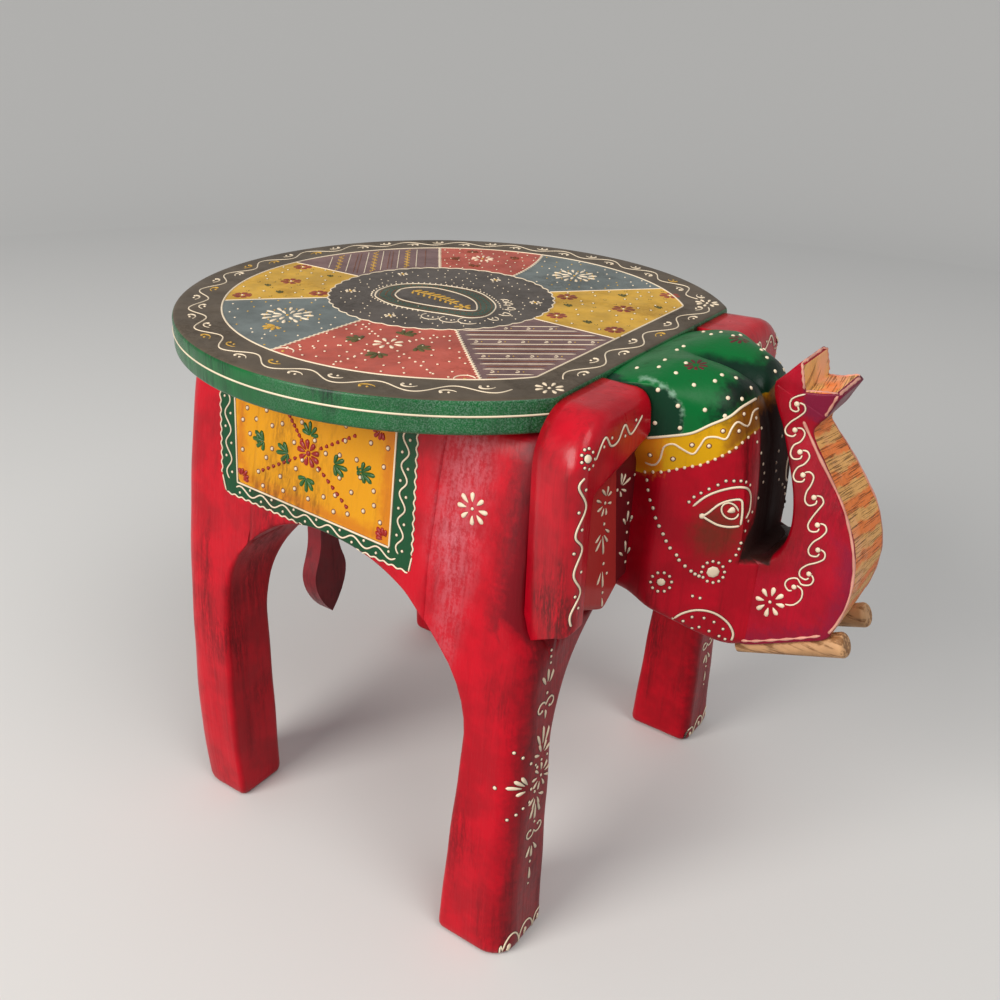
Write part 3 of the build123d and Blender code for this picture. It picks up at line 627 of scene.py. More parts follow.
head = {
    "back": 120.0, "half": 50.0, "bend": 154.0, "slant": 27.4 / 43, "muzzle": 197.0,
    "brow": 188.6, "browStart": 174.0,
    "jaw": [(120, 189), (134, 188), (146, 186), (156, 183), (166, 178), (176, 172), (184, 168), (190, 166),
            (197, 168)],
    "crest": [(120, 298.5), (132, 302.5), (146, 306), (158, 306), (168, 304), (178, 300), (189, 296)],
    "gapFloor": 217.0, "browPower": 2.3, "capPower": 2.6, "jawRound": 6.0, "cheekHollow": 5.5, "valley": 8.0,
    "ridge": [(139.1, 302.5), (146.5, 303), (152.7, 300.5), (159.1, 295.6), (161.7, 290.1), (162.4, 284.1),
              (161.8, 276)],
    "gapEdge": [(216, 188), (224.9, 189.5), (268.6, 197.9), (276, 195), (283.7, 191.3), (297, 189.5),
                (305, 190)],
}
capMarks = {  # on a 1000 x 1000 picture as the camera sees it, as are the ear's, face's and trunk's marks
    "dots": [(728, 334), (716, 340), (701, 344), (694, 350), (677, 350), (665, 360), (659, 367), (637, 368),
             (686, 363), (676, 373), (694, 385), (658, 390), (655, 423), (678, 406), (680, 428), (705, 410),
             (725, 416), (715, 381), (722, 375), (735, 365), (742, 370), (736, 378), (728, 398), (742, 399),
             (751, 388), (725, 349), (739, 341)],
    "line": [(646, 438), (670, 436), (692, 433), (710, 425), (729, 417), (742, 407), (757, 398)],
    "wave": [(644, 462), (654, 465), (660, 459), (664, 447), (673, 444), (682, 449), (693, 454), (700, 446),
             (706, 438), (716, 437), (726, 439), (732, 428), (738, 422), (748, 426), (753, 412), (759, 408)],
    "bandDots": [(650, 455), (673, 459), (692, 445), (709, 446), (723, 431), (739, 431), (744, 414),
                 (756, 418)],
    "beads": [(645, 472), (663, 472), (683, 468), (701, 465), (716, 459), (728, 453), (739, 446), (746, 439),
              (753, 434), (763, 427)],
    "brushes": [(696, 365), (737, 343)],
    "scale": 0.46,  # mm on the cap for each step of the picture
}


def soft(points, x):
    # a smooth curve through a few points: straight runs, averaged with their neighbours
    known = np.array(points, float)
    return sum(np.interp(x + d, known[:, 0], known[:, 1]) * w for d, w in ((-4, 0.25), (0, 0.5), (4, 0.25)))


def headHalf(x):
    # side of the head in plan: straight beside the ears, then slanting in, with a soft bend
    lean = (x - head["bend"]) * head["slant"]
    return head["half"] - 3.4 * np.log1p(np.exp(lean / 3.4))


def headLoops():
    # sections across the head: over the cap's two domes, which are a flattened power curve less a valley in
    # the middle, down the cheek, round the jaw and back; over the brow the crest falls along a rounded corner
    turn = np.linspace(0, np.pi / 2, 22)
    power = 2 / head["browPower"]
    browX = head["browStart"] + (head["brow"] - head["browStart"]) * np.sin(turn) ** power
    x = np.concatenate([np.linspace(head["back"], head["browStart"], 36)[:-1], browX,
                        np.linspace(189.2, head["muzzle"], 6)])
    share = np.concatenate([np.ones(35), np.cos(turn) ** power, np.zeros(6)])
    crest = (head["gapFloor"] + (soft(head["crest"], x) - head["gapFloor"]) * share)[:, None]
    half, low = headHalf(x)[:, None], soft(head["jaw"], x)[:, None]
    shoulderDrop = (4 + 15 * share * smooth(142, 168, x))[:, None]
    v = np.sin(np.linspace(-np.pi / 2, np.pi / 2, 61))
    y = half * v
    arch = np.clip(1 - np.abs(v) ** head["capPower"], 0, 1) ** (1 / head["capPower"])
    valley = (head["valley"] * share * smooth(130, 160, x))[:, None] * np.exp(-np.abs(y) / 6.0)
    hump = (2.0 * share * smooth(124, 150, x))[:, None] * (np.exp(-((np.abs(y) - 24) / 12) ** 2) - 1)
    topZ = crest - shoulderDrop * (1 - arch) - valley + hump
    jawRound = head["jawRound"]
    side = topZ[:, -1:] + (low + jawRound - topZ[:, -1:]) * np.linspace(0, 1, 40)[1:-1]
    hollowed = head["cheekHollow"] * (1 - smooth(136, 156, x))[:, None]  # the cheeks draw in beside the ears
    sideY = half - hollowed * (1 - smooth(258, 270, side))
    half = half - hollowed
    corner = np.linspace(0, np.pi / 2, 6)
    cornerY = half - jawRound + jawRound * np.cos(corner)
    cornerZ = low + jawRound - jawRound * np.sin(corner)
    under = np.linspace(1, -1, 14)[1:-1]
    rows = [np.stack([y, topZ], -1), np.stack([sideY, side], -1), np.stack([cornerY, cornerZ], -1),
            np.stack([(half - jawRound) * under, low + 0 * under], -1),
            np.stack([-cornerY, cornerZ], -1)[:, ::-1], np.stack([-sideY, side], -1)[:, ::-1]]
    loop = np.concatenate(rows, 1)
    return np.concatenate([x[:, None, None] + 0 * loop[..., :1], loop], -1)


def aside(points, path):
    # signed distance of each point to the nearest run of a path in the same plane, above 0 on its left
    path = np.array(path, float)
    best, found = np.full(len(points), 1e9), np.zeros(len(points))
    for a, b in zip(path[:-1], path[1:]):
        run = b - a
        share = np.clip(((points - a) @ run) / (run @ run), 0, 1)
        away = np.linalg.norm(points - a - share[:, None] * run, axis=1)
        turn = run[0] * (points[:, 1] - a[1]) - run[1] * (points[:, 0] - a[0])
        found = np.where(away < best, np.sign(turn) * away, found)
        best = np.minimum(best, away)
    return found


def asideSeen(points, plane, path):
    # the same for points as the camera sees them on an upright plane
    return aside(seenOn(points, plane)[:, [0, 2]], path)


def pictured(points):
    # where the camera sees the points on its picture; left-hand points are mirrored first
    p = points * (1, 0, 1) - np.abs(points) * (0, 1, 0) - eyeAt
    middle, deep = camera["picture"] / 2, -(p @ backWay)
    return np.stack([middle + focal * (p @ rightWay) / deep, middle - focal * (p @ upWay) / deep], 1)


def headZones(p):
    # the cap, its band, and painted shade on the cap, the band's front and in the gap behind the trunk, each
    # as a signed distance in mm
    x, y, z = p.T
    seen = seenOn(p, 28.0)[:, [0, 2]]
    gapFrom = np.interp(seen[:, 1], *np.array(head["gapEdge"]).T)
    ridge = asideSeen(p, 50.0, head["ridge"])
    band = np.where(x > 118, -capMarks["scale"] * aside(pictured(p), capMarks["beads"]) - 0.3, -9)
    cap = -capMarks["scale"] * aside(pictured(p), capMarks["line"])
    # painted shade in the valley between the cap's two domes
    dip = 3.2 - np.abs(y - 1.0) + 6 * smooth(150, 178, x) - 7 * (1 - smooth(134, 150, x))
    # painted shade in the gap behind the trunk: the near face past a slanted line, and a strip of the far
    # side
    near = least(seen[:, 0] - gapFrom, z - 214.5, x - 176)
    far = least(x - 182, y + 14, 30 - y, z - 214.5)
    return {"capSide": cap, "bandSide": band, "bandWarm": np.minimum(band, 152 - x),
            "bandShade": np.minimum(np.minimum(band, 1 - cap) * 2, x - 177),
            "gapShade": np.maximum(near, far), "capDipShade": np.minimum(dip, cap),
            # painted shade on the cap's near wall, below the ridge
            "capShade": np.minimum(x - 170, cap), "capWallShade": least(-ridge, 299 - z, cap, 172 - x),
            "capWear": least(0.3 - 0.8 * np.abs(ridge + 0.4), cap - 1, 168 - x),
            "faceRub": np.minimum(9 - np.hypot(x - 178, (z - 231) * 0.7), 4.0)}


headParts = tube(carve(headLoops(), 0.25))
headPiece = addPiece("head", headParts, [headPaint], ["head_block"],
                     headZones(pointsOf(headParts)))

trunk = {  # outlines are (x, z) points seen from the side; half is (z, half width)
    "back": [(189, 216), (198, 217), (201.5, 220), (204.5, 224), (206.5, 230), (207.2, 237), (206.8, 244),
             (205.6, 251), (203.4, 258), (200.4, 265.5), (196.8, 274), (193, 283), (189.8, 291),
             (188.2, 296.5), (188.2, 302)],
    "front": [(189, 167.6), (198, 169), (210, 174.7), (222, 180.6), (233.2, 186.2), (236.2, 192),
              (239.6, 204), (241, 217), (239.4, 229), (236, 240), (230.5, 250), (224, 260), (216.5, 270),
              (208.6, 281), (210.6, 287), (213.5, 291)],
    "half": [(165, 23.2), (190, 23.0), (217, 22.4), (236, 20.4), (250, 19.4), (266, 16.5), (282, 13.5),
             (293, 15), (304, 16.5), (315, 16.5)],
    # each lip as rows of its inner side's x, z and its outer side's x, z, and its section's bare run
    "lips": [([(189.5, 294, 205, 288.5), (188.2, 301, 203, 299), (193.6, 308, 201.4, 305.5),
               (197.6, 312.8, 199.6, 312)], 2),
             ([(194.5, 298, 207.5, 284.5), (201, 300.4, 212.6, 289.6), (209, 301.6, 216, 296.5),
               (215.8, 303.3, 218.4, 301.6)], 6)],
    "wedge": [(203.5, 292.3), (205.5, 289), (208.7, 287.5), (213, 289), (222, 300)],
}


def upright(points):
    # (x, z) points on the middle plane
    known = np.array(points, float)
    return np.stack([known[:, 0], 0 * known[:, 0], known[:, 1]], 1)


def finer(points, count):
    # the same polyline's points on a rounder path, evenly numbered: a cubic through each four neighbours
    points = np.asarray(points, float)
    t = np.linspace(0, len(points) - 1, count)
    i = np.clip(t.astype(int), 0, len(points) - 2)
    f = (t - i)[:, None]
    a, b, c, d = (points[np.clip(i + k, 0, len(points) - 1)] for k in (-1, 0, 1, 2))
    bent = (2 * a - 5 * b + 4 * c - d) * f ** 2 + (3 * b - a - 3 * c + d) * f ** 3
    return 0.5 * (2 * b + (c - a) * f + bent)


def trunkSide(p):
    # the trunk's half width at each point's height
    return np.interp(p[..., 2], *np.array(trunk["half"], float).T)


def lipSide(p):
    # the lips' half width: the trunk's, and a little less where their roots are hidden under its end
    under = (302 - 0.435 * (p[..., 0] - 188.2)) - p[..., 2]
    return trunkSide(p) - 0.35 * smooth(0, 1.5, under)


trunkInner, trunkOuter = finer(upright(trunk["back"]), 70), finer(upright(trunk["front"]), 70)
trunkLoops, edges = sweptBlock(trunkInner, trunkOuter, 1, lambda p: -trunkSide(p), trunkSide,
                               [3, 1.6, 1.6, 3], across=16, along=12)
trunkParts = tube(carve(trunkLoops, 0.2), np.where(edges == 2, 1, 0))
trunkCount = len(trunkParts[0][0])
for lip, bare in trunk["lips"]:
    rows = np.array(lip, float)
    inner, outer = finer(upright(rows[:, :2]), 14), finer(upright(rows[:, 2:]), 14)
    loops, edges = sweptBlock(inner, outer, 1, lambda p: -lipSide(p), lipSide, 1.2, across=6, along=8, arc=3)
    trunkParts += tube(loops, np.where(edges == bare, 1, 0))


def trunkValues(p):
    # the way along the trunk's front at each point's nearest place on it, a little aslant, and its painted
    # zones as signed distances in mm
    x, y, z = p.T
    frontPath = trunkOuter[:, [0, 2]]
    nearest = np.argmin(np.linalg.norm(p[:, None, [0, 2]] - frontPath[None], axis=2), axis=1)
    steps = np.linalg.norm(np.diff(frontPath, axis=0), axis=1)
    along = np.concatenate([[0], np.cumsum(steps)])[nearest] + 0.12 * y
    along[trunkCount:] += 0.8 * (x[trunkCount:] - 190)  # the lips' cuts run across them too
    return {"along": along, "wedge": np.minimum(asideSeen(p, 15.0, trunk["wedge"]), x - 202.5),
            # the three zones below are painted shade along the trunk's front and inner edges and at its root
            # in the gap
            "edgeShade": np.minimum(6.0 - np.abs(asideSeen(p, 21.0, frontPath)), 236 - z),
            "gapFloor": least(z - 215.4, 222 - z, 202 - x),
            "innerShade": 7.0 - np.abs(asideSeen(p, 21.0, trunkInner[:, [0, 2]]))}


trunkPiece = addPiece("trunk", trunkParts, [trunkPaint, carvedWood], ["trunk_block"],
                      trunkValues(pointsOf(trunkParts)))
print("head and trunk done")

ear = {"root": 50.0, "outer": 111.0, "outerBack": 107.0, "top": 298.0, "back": 120.0, "front": 146.0,
       "corner": 26.0, "rim": 13.0, "topRim": 31.0, "hollow": 7.5, "edge": 8.0,
       "foot": [(50, 195), (64, 185.2), (96, 200), (97.6, 201), (98.4, 189.6), (111, 189)]}


def border(grid):
    # the points round a grid's edge, once
    return np.concatenate([grid[0, :], grid[1:, -1], grid[-1, -2::-1], grid[-2:0:-1, 0]])


def makeEar(side):
    # a slab over the ear's outline: z runs from the top line to the foot line at each y, and the front's x
    # drops in a quarter round near the outer and lower edges and in a smooth step over the hollow
    y = np.concatenate([np.linspace(43, 97.2, 44), 98.2 + 12.8 * np.sin(np.linspace(0, np.pi / 2, 26))])
    foot = np.interp(y, *np.array(ear["foot"], float).T)
    corner = ear["corner"]
    over = np.clip(y - (ear["outer"] - corner), 0, corner)
    top = ear["top"] - corner + np.sqrt(corner ** 2 - over ** 2) - 10 * (y < 49.5)
    v = (1 - np.cos(np.linspace(0, np.pi, 80))) / 4 + np.linspace(0, 1, 80) / 2
    z = top[:, None] + (foot - top)[:, None] * v
    yy = y[:, None] + 0 * z
    fromSide, fromTop, fromFoot = ear["outer"] - yy, top[:, None] - z, z - foot[:, None]
    r = ear["edge"]
    drop = r - np.sqrt(r ** 2 - (r - np.clip(least(fromSide, fromTop * 0.8, fromFoot * 1.5), 0, r)) ** 2)
    sunk = smooth(ear["rim"] - 1, ear["rim"] + 5, fromSide)
    sunk = sunk * smooth(-4, 6, ear["top"] - ear["topRim"] - z - 0.25 * (yy - 75))
    x = ear["front"] - drop - ear["hollow"] * sunk
    tilt = v * smooth(96.5, 98.5, yy)  # the outer foot rises to the front
    backY = ear["root"] + (yy - ear["root"]) * (ear["outerBack"] - ear["root"]) / (ear["outer"] - ear["root"])
    front = np.stack([x, yy, z + 6.5 * tilt], -1)
    rear = np.stack([ear["back"] + 0 * x, backY, z - 4.5 * tilt], -1)
    skirt = np.stack([border(front * (1 - k) + rear * k) for k in (0, 0.33, 0.66, 1)])
    rows, cols = z.shape
    points = [grid.reshape(-1, 3) for grid in (front, rear, skirt)]
    faces = [gridFaces(rows, cols), gridFaces(rows, cols), gridFaces(4, skirt.shape[1], True)]
    hollow = np.concatenate([(12 * (sunk - 0.45)).reshape(-1),
                             np.full(len(points[1]) + len(points[2]), -6.0)])
    p = np.concatenate(points)
    # painted shade: the part of the hollow next to the head
    neckShade = np.minimum(hollow, 59.2 + 0.16 * (p[:, 2] - 229) - p[:, 1])
    word = "ear_right" if side < 0 else "ear_left"
    parts = [(place * (1, side, 1), quads, 0) for place, quads in zip(points, faces)]
    return addPiece(word + "_shape", parts, [earPaint], [word], {"hollow": hollow, "neckShade": neckShade},
                    weld=1e-6)


ears = {side: makeEar(side) for side in (-1, 1)}
print("ears done")

seat = {
    "radius": 150.0, "chord": 120.0, "top": 300.15, "bottom": 283.5, "round": 2.0,
    "middle": (-12.7, 2.8), "medallion": 61.5, "scallops": 44, "inner": 125.0, "innerChord": 100.0,
    # the inner outline's two short edges: direction and distance from the seat's centre
    "cuts": [(0.537, 0.8437, 126.9), (0.6585, -0.7526, 126.8)],
    # directions of the eight painted wedges' borders at the medallion and at the outline, in degrees
    "borders": [(-93, -91.5), (-46, -45.3), (-2.5, -2.4), (49, 48.5), (85, 95), (128.6, 128.2), (179, 179.9),
                (224.7, 225.9)],
}
mid = np.array(seat["middle"])


def heading(turn):
    # the unit step in a direction, or a row of them
    return np.stack([np.cos(turn), np.sin(turn)], -1)


def reach(turn, radius, chord, cuts=()):
    # distance from the medallion's middle to the outline in each direction: the circle, cut by the chord and
    # by any further straight edges
    mx, my = mid
    c, s = np.cos(turn), np.sin(turn)
    b = mx * c + my * s
    far = -b + np.sqrt(b * b - mx * mx - my * my + radius ** 2)
    for nx, ny, d in [(1.0, 0.0, chord), *cuts]:
        along = nx * c + ny * s
        edge = (d - nx * mx - ny * my) / np.where(along > 1e-6, along, 1)
        far = np.where(along > 1e-6, np.minimum(far, edge), far)
    return far


def innerReach(turn):
    # the same for the painted wedges' outline
    return reach(turn, seat["inner"], seat["innerChord"], seat["cuts"])


def seatRings():
    # rings round the medallion's middle: out over the medallion, the wedges and the rim, round the top edge,
    # down the side, round the lower edge and back in below; slots number the paints ring by ring
    share = np.linspace(0, 1, 46, endpoint=False)
    starts, ends = np.radians([*seat["borders"], np.add(seat["borders"][0], 360)]).T

    def filled(turns):
        # 46 directions from each of the turns up to the next
        return np.concatenate([a + (b - a) * share for a, b in zip(turns[:-1], turns[1:])])

    inner, outer = filled(starts), filled(ends)
    wedge = 1 + np.repeat(np.arange(8), 46) % 4
    one = seat["medallion"] + 0.9 * np.abs(np.sin(inner * seat["scallops"] / 2))
    two, three = innerReach(outer), reach(outer, seat["radius"], seat["chord"])
    r, top, bottom = seat["round"], seat["top"], seat["bottom"]
    rings = [(inner, one * f, top, 0) for f in np.linspace(0.04, 1, 14)]
    for f in np.linspace(0, 1, 18)[1:]:
        rings.append((inner + (outer - inner) * f, one + (two - one) * f, top, wedge))
    rings += [(outer, two + (three - r - two) * f, top, 5) for f in np.linspace(0, 1, 9)[1:]]
    for a in np.radians([22, 45, 67, 90]):
        rings.append((outer, three - r + r * np.sin(a), top - r + r * np.cos(a), 5 if a < 1 else 6))
    rings += [(outer, three, bottom + r + (top - bottom - 2 * r) * f, 6) for f in (0.75, 0.5, 0.25)]
    for a in np.radians([90, 67, 45, 22, 0]):
        rings.append((outer, three - r + r * np.sin(a), bottom + r - r * np.cos(a), 6))
    rings += [(outer, three * f, bottom, 7) for f in (0.85, 0.6, 0.3, 0.04)]
    points, slots = [], []
    for turn, far, z, slot in rings:
        points.append(np.column_stack([mid + far[:, None] * heading(turn), z + 0 * turn]))
        slots.append(slot + 0 * wedge)
    return np.array(points), np.array(slots[1:])


seatPaints = [seatGrey, seatCoral, seatPlum, seatYellow, seatBlue, seatGround, greenEdge, innerWood]
addPiece("seat", tube(*seatRings()), seatPaints, ["seat_board"])
print("seat done")

# the tones' slots
cream, gold, brick, leaf, umber, soot, blush, maroon, olive, moss, rust = range(len(tones))


def newSketch(scale=1.0):
    # an empty drawing; scale is how many mm one step of it is on the piece
    return {"scale": scale, "paths": [], "widths": [], "tones": [], "dots": []}


def travelled(path):
    # how far along a path each of its points lies
    return np.concatenate([[0], np.cumsum(np.linalg.norm(np.diff(path, axis=0), axis=1))])


def pointsAt(path, far):
    # the points that far along a path, on its straight runs
    away = travelled(path)
    return np.stack([np.interp(far, away, path[:, k]) for k in (0, 1)], 1)


def squareTo(way):
    # a direction, or a row of them, turned a quarter turn to the left
    return np.stack([-way[..., 1], way[..., 0]], -1)


def towards(root, tip):
    # the direction from one point to another, and how far it is
    dx, dy = tip[0] - root[0], tip[1] - root[1]
    return math.atan2(dy, dx), math.hypot(dx, dy)


def around(at, radius, count, start=0.0):
    # points evenly round a circle, or round an ellipse if radius is a pair
    return np.asarray(at, float) + heading(start + 2 * np.pi * np.arange(count) / count) * radius


def level(t):
    # a line's width that stays the same along the way
    return 1 + 0 * t


def line(sketch, path, width=1.0, tone=cream, step=1.5, sharp=False, profile=None):
    # a raised line on the curve through the points, or if it is sharp on the straight runs between them;
    # profile gives its width along the way, else it thins at both ends
    path = np.asarray(path, float)
    length = np.linalg.norm(np.diff(path, axis=0), axis=1).sum() * sketch["scale"]
    count = int(max(5, length / step)) + 1
    t = np.linspace(0, 1, count)
    shape = profile(t) if profile else np.minimum(1, 0.45 + np.minimum(t, 1 - t) * length / 2.5)
    sketch["paths"].append(pointsAt(path, t * travelled(path)[-1]) if sharp else finer(path, count))
    sketch["widths"].append(width * np.concatenate([[0], shape[1:-1], [0]]))
    sketch["tones"].append(np.full(count, tone))


def dot(sketch, at, radius=0.95, tone=cream, film=False):
    # one bead, or a flat film of that radius
    sketch["dots"].append((at[0], at[1], radius, tone, film))


def dots(sketch, path, radius=0.9, tone=cream, gap=None):
    # a row of beads at the points, or every gap along them
    path = np.asarray(path, float)
    if gap:
        path = pointsAt(path, np.arange(0, travelled(path)[-1] + 0.01, gap / sketch["scale"]))
    for at in path:
        dot(sketch, at, radius, tone)


def rimmedDot(sketch, at, radius=0.85, tone=cream, rim=umber):
    # a bead on a wider film of another tone
    dot(sketch, at, radius * 1.6, rim, True)
    dot(sketch, at, radius, tone)


def petal(sketch, root, turn, length, width, tone=cream):
    # a drop: narrow at its root and full near its tip, its width following a skewed half sine
    way, root = heading(turn), np.asarray(root, float)
    line(sketch, [root, root + way * length / 2, root + way * length], width, tone,
         0.01 + length * sketch["scale"] / 6, profile=lambda t: np.sin(np.pi * t ** 1.7) ** 0.75 + 0.1)


def flower(sketch, at, radius, petals=8, width=2.2, tone=cream, heart=cream, turn=0.2, hole=0.36):
    # petals all round, starting where the hole's share of the radius ends, and a bead in the middle
    at = np.asarray(at, float)
    for k in range(petals):
        a = turn + 2 * np.pi * k / petals
        petal(sketch, at + hole * radius * heading(a), a, radius * (1 - hole), width, tone)
    if heart is not None:
        dot(sketch, at, 0.9, heart)


def fan(sketch, root, turn, length, petals=3, spread=0.45, width=1.8, tone=cream):
    # petals round one root, the middle one longest, each starting a little way out
    for k in range(petals):
        off = k - (petals - 1) / 2
        long, a = length * (1 - 0.12 * abs(off)), turn + off * spread
        petal(sketch, np.asarray(root) + 0.28 * long * heading(a), a, 0.72 * long, width, tone)


def comma(sketch, at, turn, flip, size, tone=cream):
    # a brush comma: a thin tail that bends and swells into a round head; flip mirrors it across its direction
    c, s = math.cos(turn), math.sin(turn)
    bend = [(-4.2, 0.9), (-2.6, -0.6), (-0.4, -1.3), (1.8, -1.0), (3.2, 0.3), (2.8, 1.6)]
    path = np.asarray(at, float) + np.array(bend) * size * (1, flip) @ np.array([(c, s), (-s, c)])
    line(sketch, path, 1.5 * size, tone, 0.8, profile=lambda t: 0.3 + 0.75 * t ** 1.5)
    dot(sketch, path[-1], 0.85 * size, tone)


def curl(sketch, at, radius, start, sweep, width=1.0, tone=cream, shrink=0.55, head=True):
    # an arc that winds in from start, with a bead at its inner end
    turn = start + np.linspace(0, sweep, 7)
    path = np.asarray(at, float) + (radius * np.linspace(1, shrink, 7))[:, None] * heading(turn)
    line(sketch, path, width, tone, 1.0)
    if head:
        dot(sketch, path[-1], 0.85 * max(width, 0.9), tone)


def sprig(sketch, at, turn, size, tone=leaf):
    # a leafy sprig: five leaves from one root with fine gold veins on them
    for off, share in ((-1.25, 0.7), (-0.62, 0.9), (0, 1.0), (0.62, 0.9), (1.25, 0.7)):
        petal(sketch, at, turn + off, size * share, size * 0.27 * sketch["scale"], tone)
    for off in (-0.62, 0, 0.62):
        way = heading(turn + off) * size
        line(sketch, [at + way * 0.15, at + way * 0.85], 0.45, gold, 0.8)


def wave(path, height, length):
    # a sine to both sides of a path of points; also the path, its sides and the number of whole waves
    path = np.asarray(path, float)
    far = travelled(path)[-1]
    waves = max(1, round(far / length))
    t = np.linspace(0, far, waves * 10 + 1)
    middle = pointsAt(path, t)
    way = np.gradient(middle, axis=0)
    way /= np.linalg.norm(way, axis=1)[:, None]
    side = squareTo(way)
    return middle + side * (height * np.sin(2 * np.pi * waves * t / far))[:, None], middle, side, waves


def crests(middle, sides, waves):
    # for each crest of a wave, its place on the path, the path's side there and the side opposite the crest
    for k in range(waves * 2):
        i = min(int((k + 0.5) * 5), len(middle) - 1)
        yield middle[i], sides[i], -1 if k % 2 == 0 else 1


def beadedVine(sketch, run, height, length, width, step=1.5):
    # a waving line with a bead in each of its bends
    vine, *rest = wave(run, height, length)
    line(sketch, vine, width, step=step)
    for at, side, sign in crests(*rest):
        dot(sketch, at + side * sign * 2.0, 0.8)


def scatter(count, inside, clear, low, high):
    # evenly spread seeded points: each is kept if it is inside and clear of those before
    kept = []
    for at in rng.uniform(low, high, (count * 30, 2)):
        isFree = all(np.hypot(*(at - other)) > clear for other in kept)
        if len(kept) < count and isFree and np.ravel(inside(at[None]))[0]:
            kept.append(at)
    return kept


def awayFrom(p, spots, gap):
    # whether the one point p is further than the gap from all the spots
    return np.hypot(*(np.asarray(spots) - p).T).min() > gap


filmHeight = 0.1  # mm


def antique(sketch, halo):
    # lays a thin dark film, wider by the halo, under each cream stroke and bead, as antiquing wax does
    for path, width, tone in list(zip(sketch["paths"], sketch["widths"], sketch["tones"])):
        if tone[0] == cream:
            sketch["paths"].append(path)
            sketch["widths"].append(np.where(width > 0, -(width + halo), 0))
            sketch["tones"].append(np.full(len(path), soot))
    films = []
    for x, y, radius, tone, _ in sketch["dots"]:
        if tone == cream:
            films.append((x, y, radius + halo / 2, soot, True))
    sketch["dots"] = films + sketch["dots"]


def ridges(sketch, canvas, keep, height):
    # half-round ridges along the strokes: five points across, on the surface that canvas finds; strokes of a
    # width below 0 are films, and where the width is 0 they dip under the surface
    counts = np.array([len(p) for p in sketch["paths"]])
    at, normal = canvas(np.concatenate(sketch["paths"]))
    width, tone = np.concatenate(sketch["widths"]), np.concatenate(sketch["tones"])
    ends = np.cumsum(counts) - 1
    starts = ends - counts + 1
    way = np.empty_like(at)
    way[1:-1] = at[2:] - at[:-2]
    way[starts] = at[starts + 1] - at[starts]
    way[ends] = at[ends] - at[ends - 1]
    way /= np.linalg.norm(way, axis=1)[:, None] + 1e-9
    side = np.cross(normal, way)
    side /= np.linalg.norm(side, axis=1)[:, None] + 1e-9
    full = width != 0
    tall = np.where(width < 0, filmHeight, height * np.clip(width / 1.1, 0, 1.3))[:, None]
    half = np.abs(width[:, None]) / 2
    rows = []
    for c, h, sink in ((1, 0, -0.22), (0.82, 0.62, 0), (0, 1, 0), (-0.82, 0.62, 0), (-1, 0, -0.22)):
        rows.append(at + side * half * c + normal * (np.where(full[:, None], tall * h, 0) + sink))
    loops = np.stack(rows, 1)
    loops[~full] = (at - normal * 0.2)[~full, None]
    faces = gridFaces(len(at), 5, True).reshape(-1, 5, 4)
    joined = np.ones(len(at) - 1, bool)
    joined[ends[:-1]] = False
    if keep is not None:
        joined &= np.repeat([bool(np.all(keep(at[a:b + 1]))) for a, b in zip(starts, ends)], counts)[:-1]
    return [(loops.reshape(-1, 3), faces[joined].reshape(-1, 4), np.repeat(tone[:-1][joined], 5))]


def domes(sketch, canvas, keep):
    # low domes on the dots: three rings of eight points and a pole, as high as 0.62 of the radius or 0.75 mm
    spots = np.array(sketch["dots"], float)
    at, normal = canvas(spots[:, :2])
    if keep is not None:
        good = keep(at)
        at, normal, spots = at[good], normal[good], spots[good]
    across = np.cross(normal, np.array([0.31, 0.52, 0.8]))  # from any direction that no normal has
    across /= np.linalg.norm(across, axis=1)[:, None]
    third = np.cross(normal, across)
    turn = np.arange(8) * np.pi / 4
    ring = across[:, None] * np.cos(turn)[None, :, None] + third[:, None] * np.sin(turn)[None, :, None]
    radii, tops = spots[:, 2], np.where(spots[:, 4] > 0, filmHeight, np.minimum(spots[:, 2] * 0.62, 0.75))
    rings = []
    for wide, h in ((1.0, -0.25), (0.88, 0.45), (0.5, 0.86)):
        tall = h if h < 0 else h * tops
        lift = normal[:, None] * (tall + 0 * tops)[:, None, None]
        rings.append(at[:, None] + ring * (wide * radii)[:, None, None] + lift)
    pole = at + normal * tops[:, None]
    points = np.concatenate([np.stack(rings, 1).reshape(len(at), 24, 3), pole[:, None]], 1).reshape(-1, 3)
    base = (np.arange(len(at)) * 25)[:, None, None]
    parts = []
    for place, faces in ((points, gridFaces(3, 8, True)), (None, fanFaces(16 + np.arange(8), 24))):
        slots = np.repeat(spots[:, 3].astype(int), len(faces))
        parts.append((place, (faces + base).reshape(-1, faces.shape[1]), slots))
    return parts


def raiseSketch(name, sketch, canvas, mirror=False, keep=None, height=0.5, halo=None):
    # turns the drawing into ridges and domes on the surface that canvas finds, and mirrors them if asked;
    # keep tells which of the found places are used
    if halo:
        antique(sketch, halo)
    parts = ridges(sketch, canvas, keep, height) if sketch["paths"] else []
    parts += domes(sketch, canvas, keep) if sketch["dots"] else []
    if mirror:
        parts += [(None if p is None else p * (1, -1, 1), f[:, ::-1], s) for p, f, s in parts]
    return addPiece(name, parts, list(tones.values()), flip=False)


def treeOf(*pieces):
    # the faces of the pieces, in mm from the seat's centre, ready to be hit by rays
    points, faces = [], []
    for piece in pieces:
        base = len(points)
        points += [tuple(1000 * v.co - Vector((seatCentre, 0, 0))) for v in piece.data.vertices]
        faces += [[base + k for k in p.vertices] for p in piece.data.polygons]
    return BVHTree.FromPolygons(points, faces)


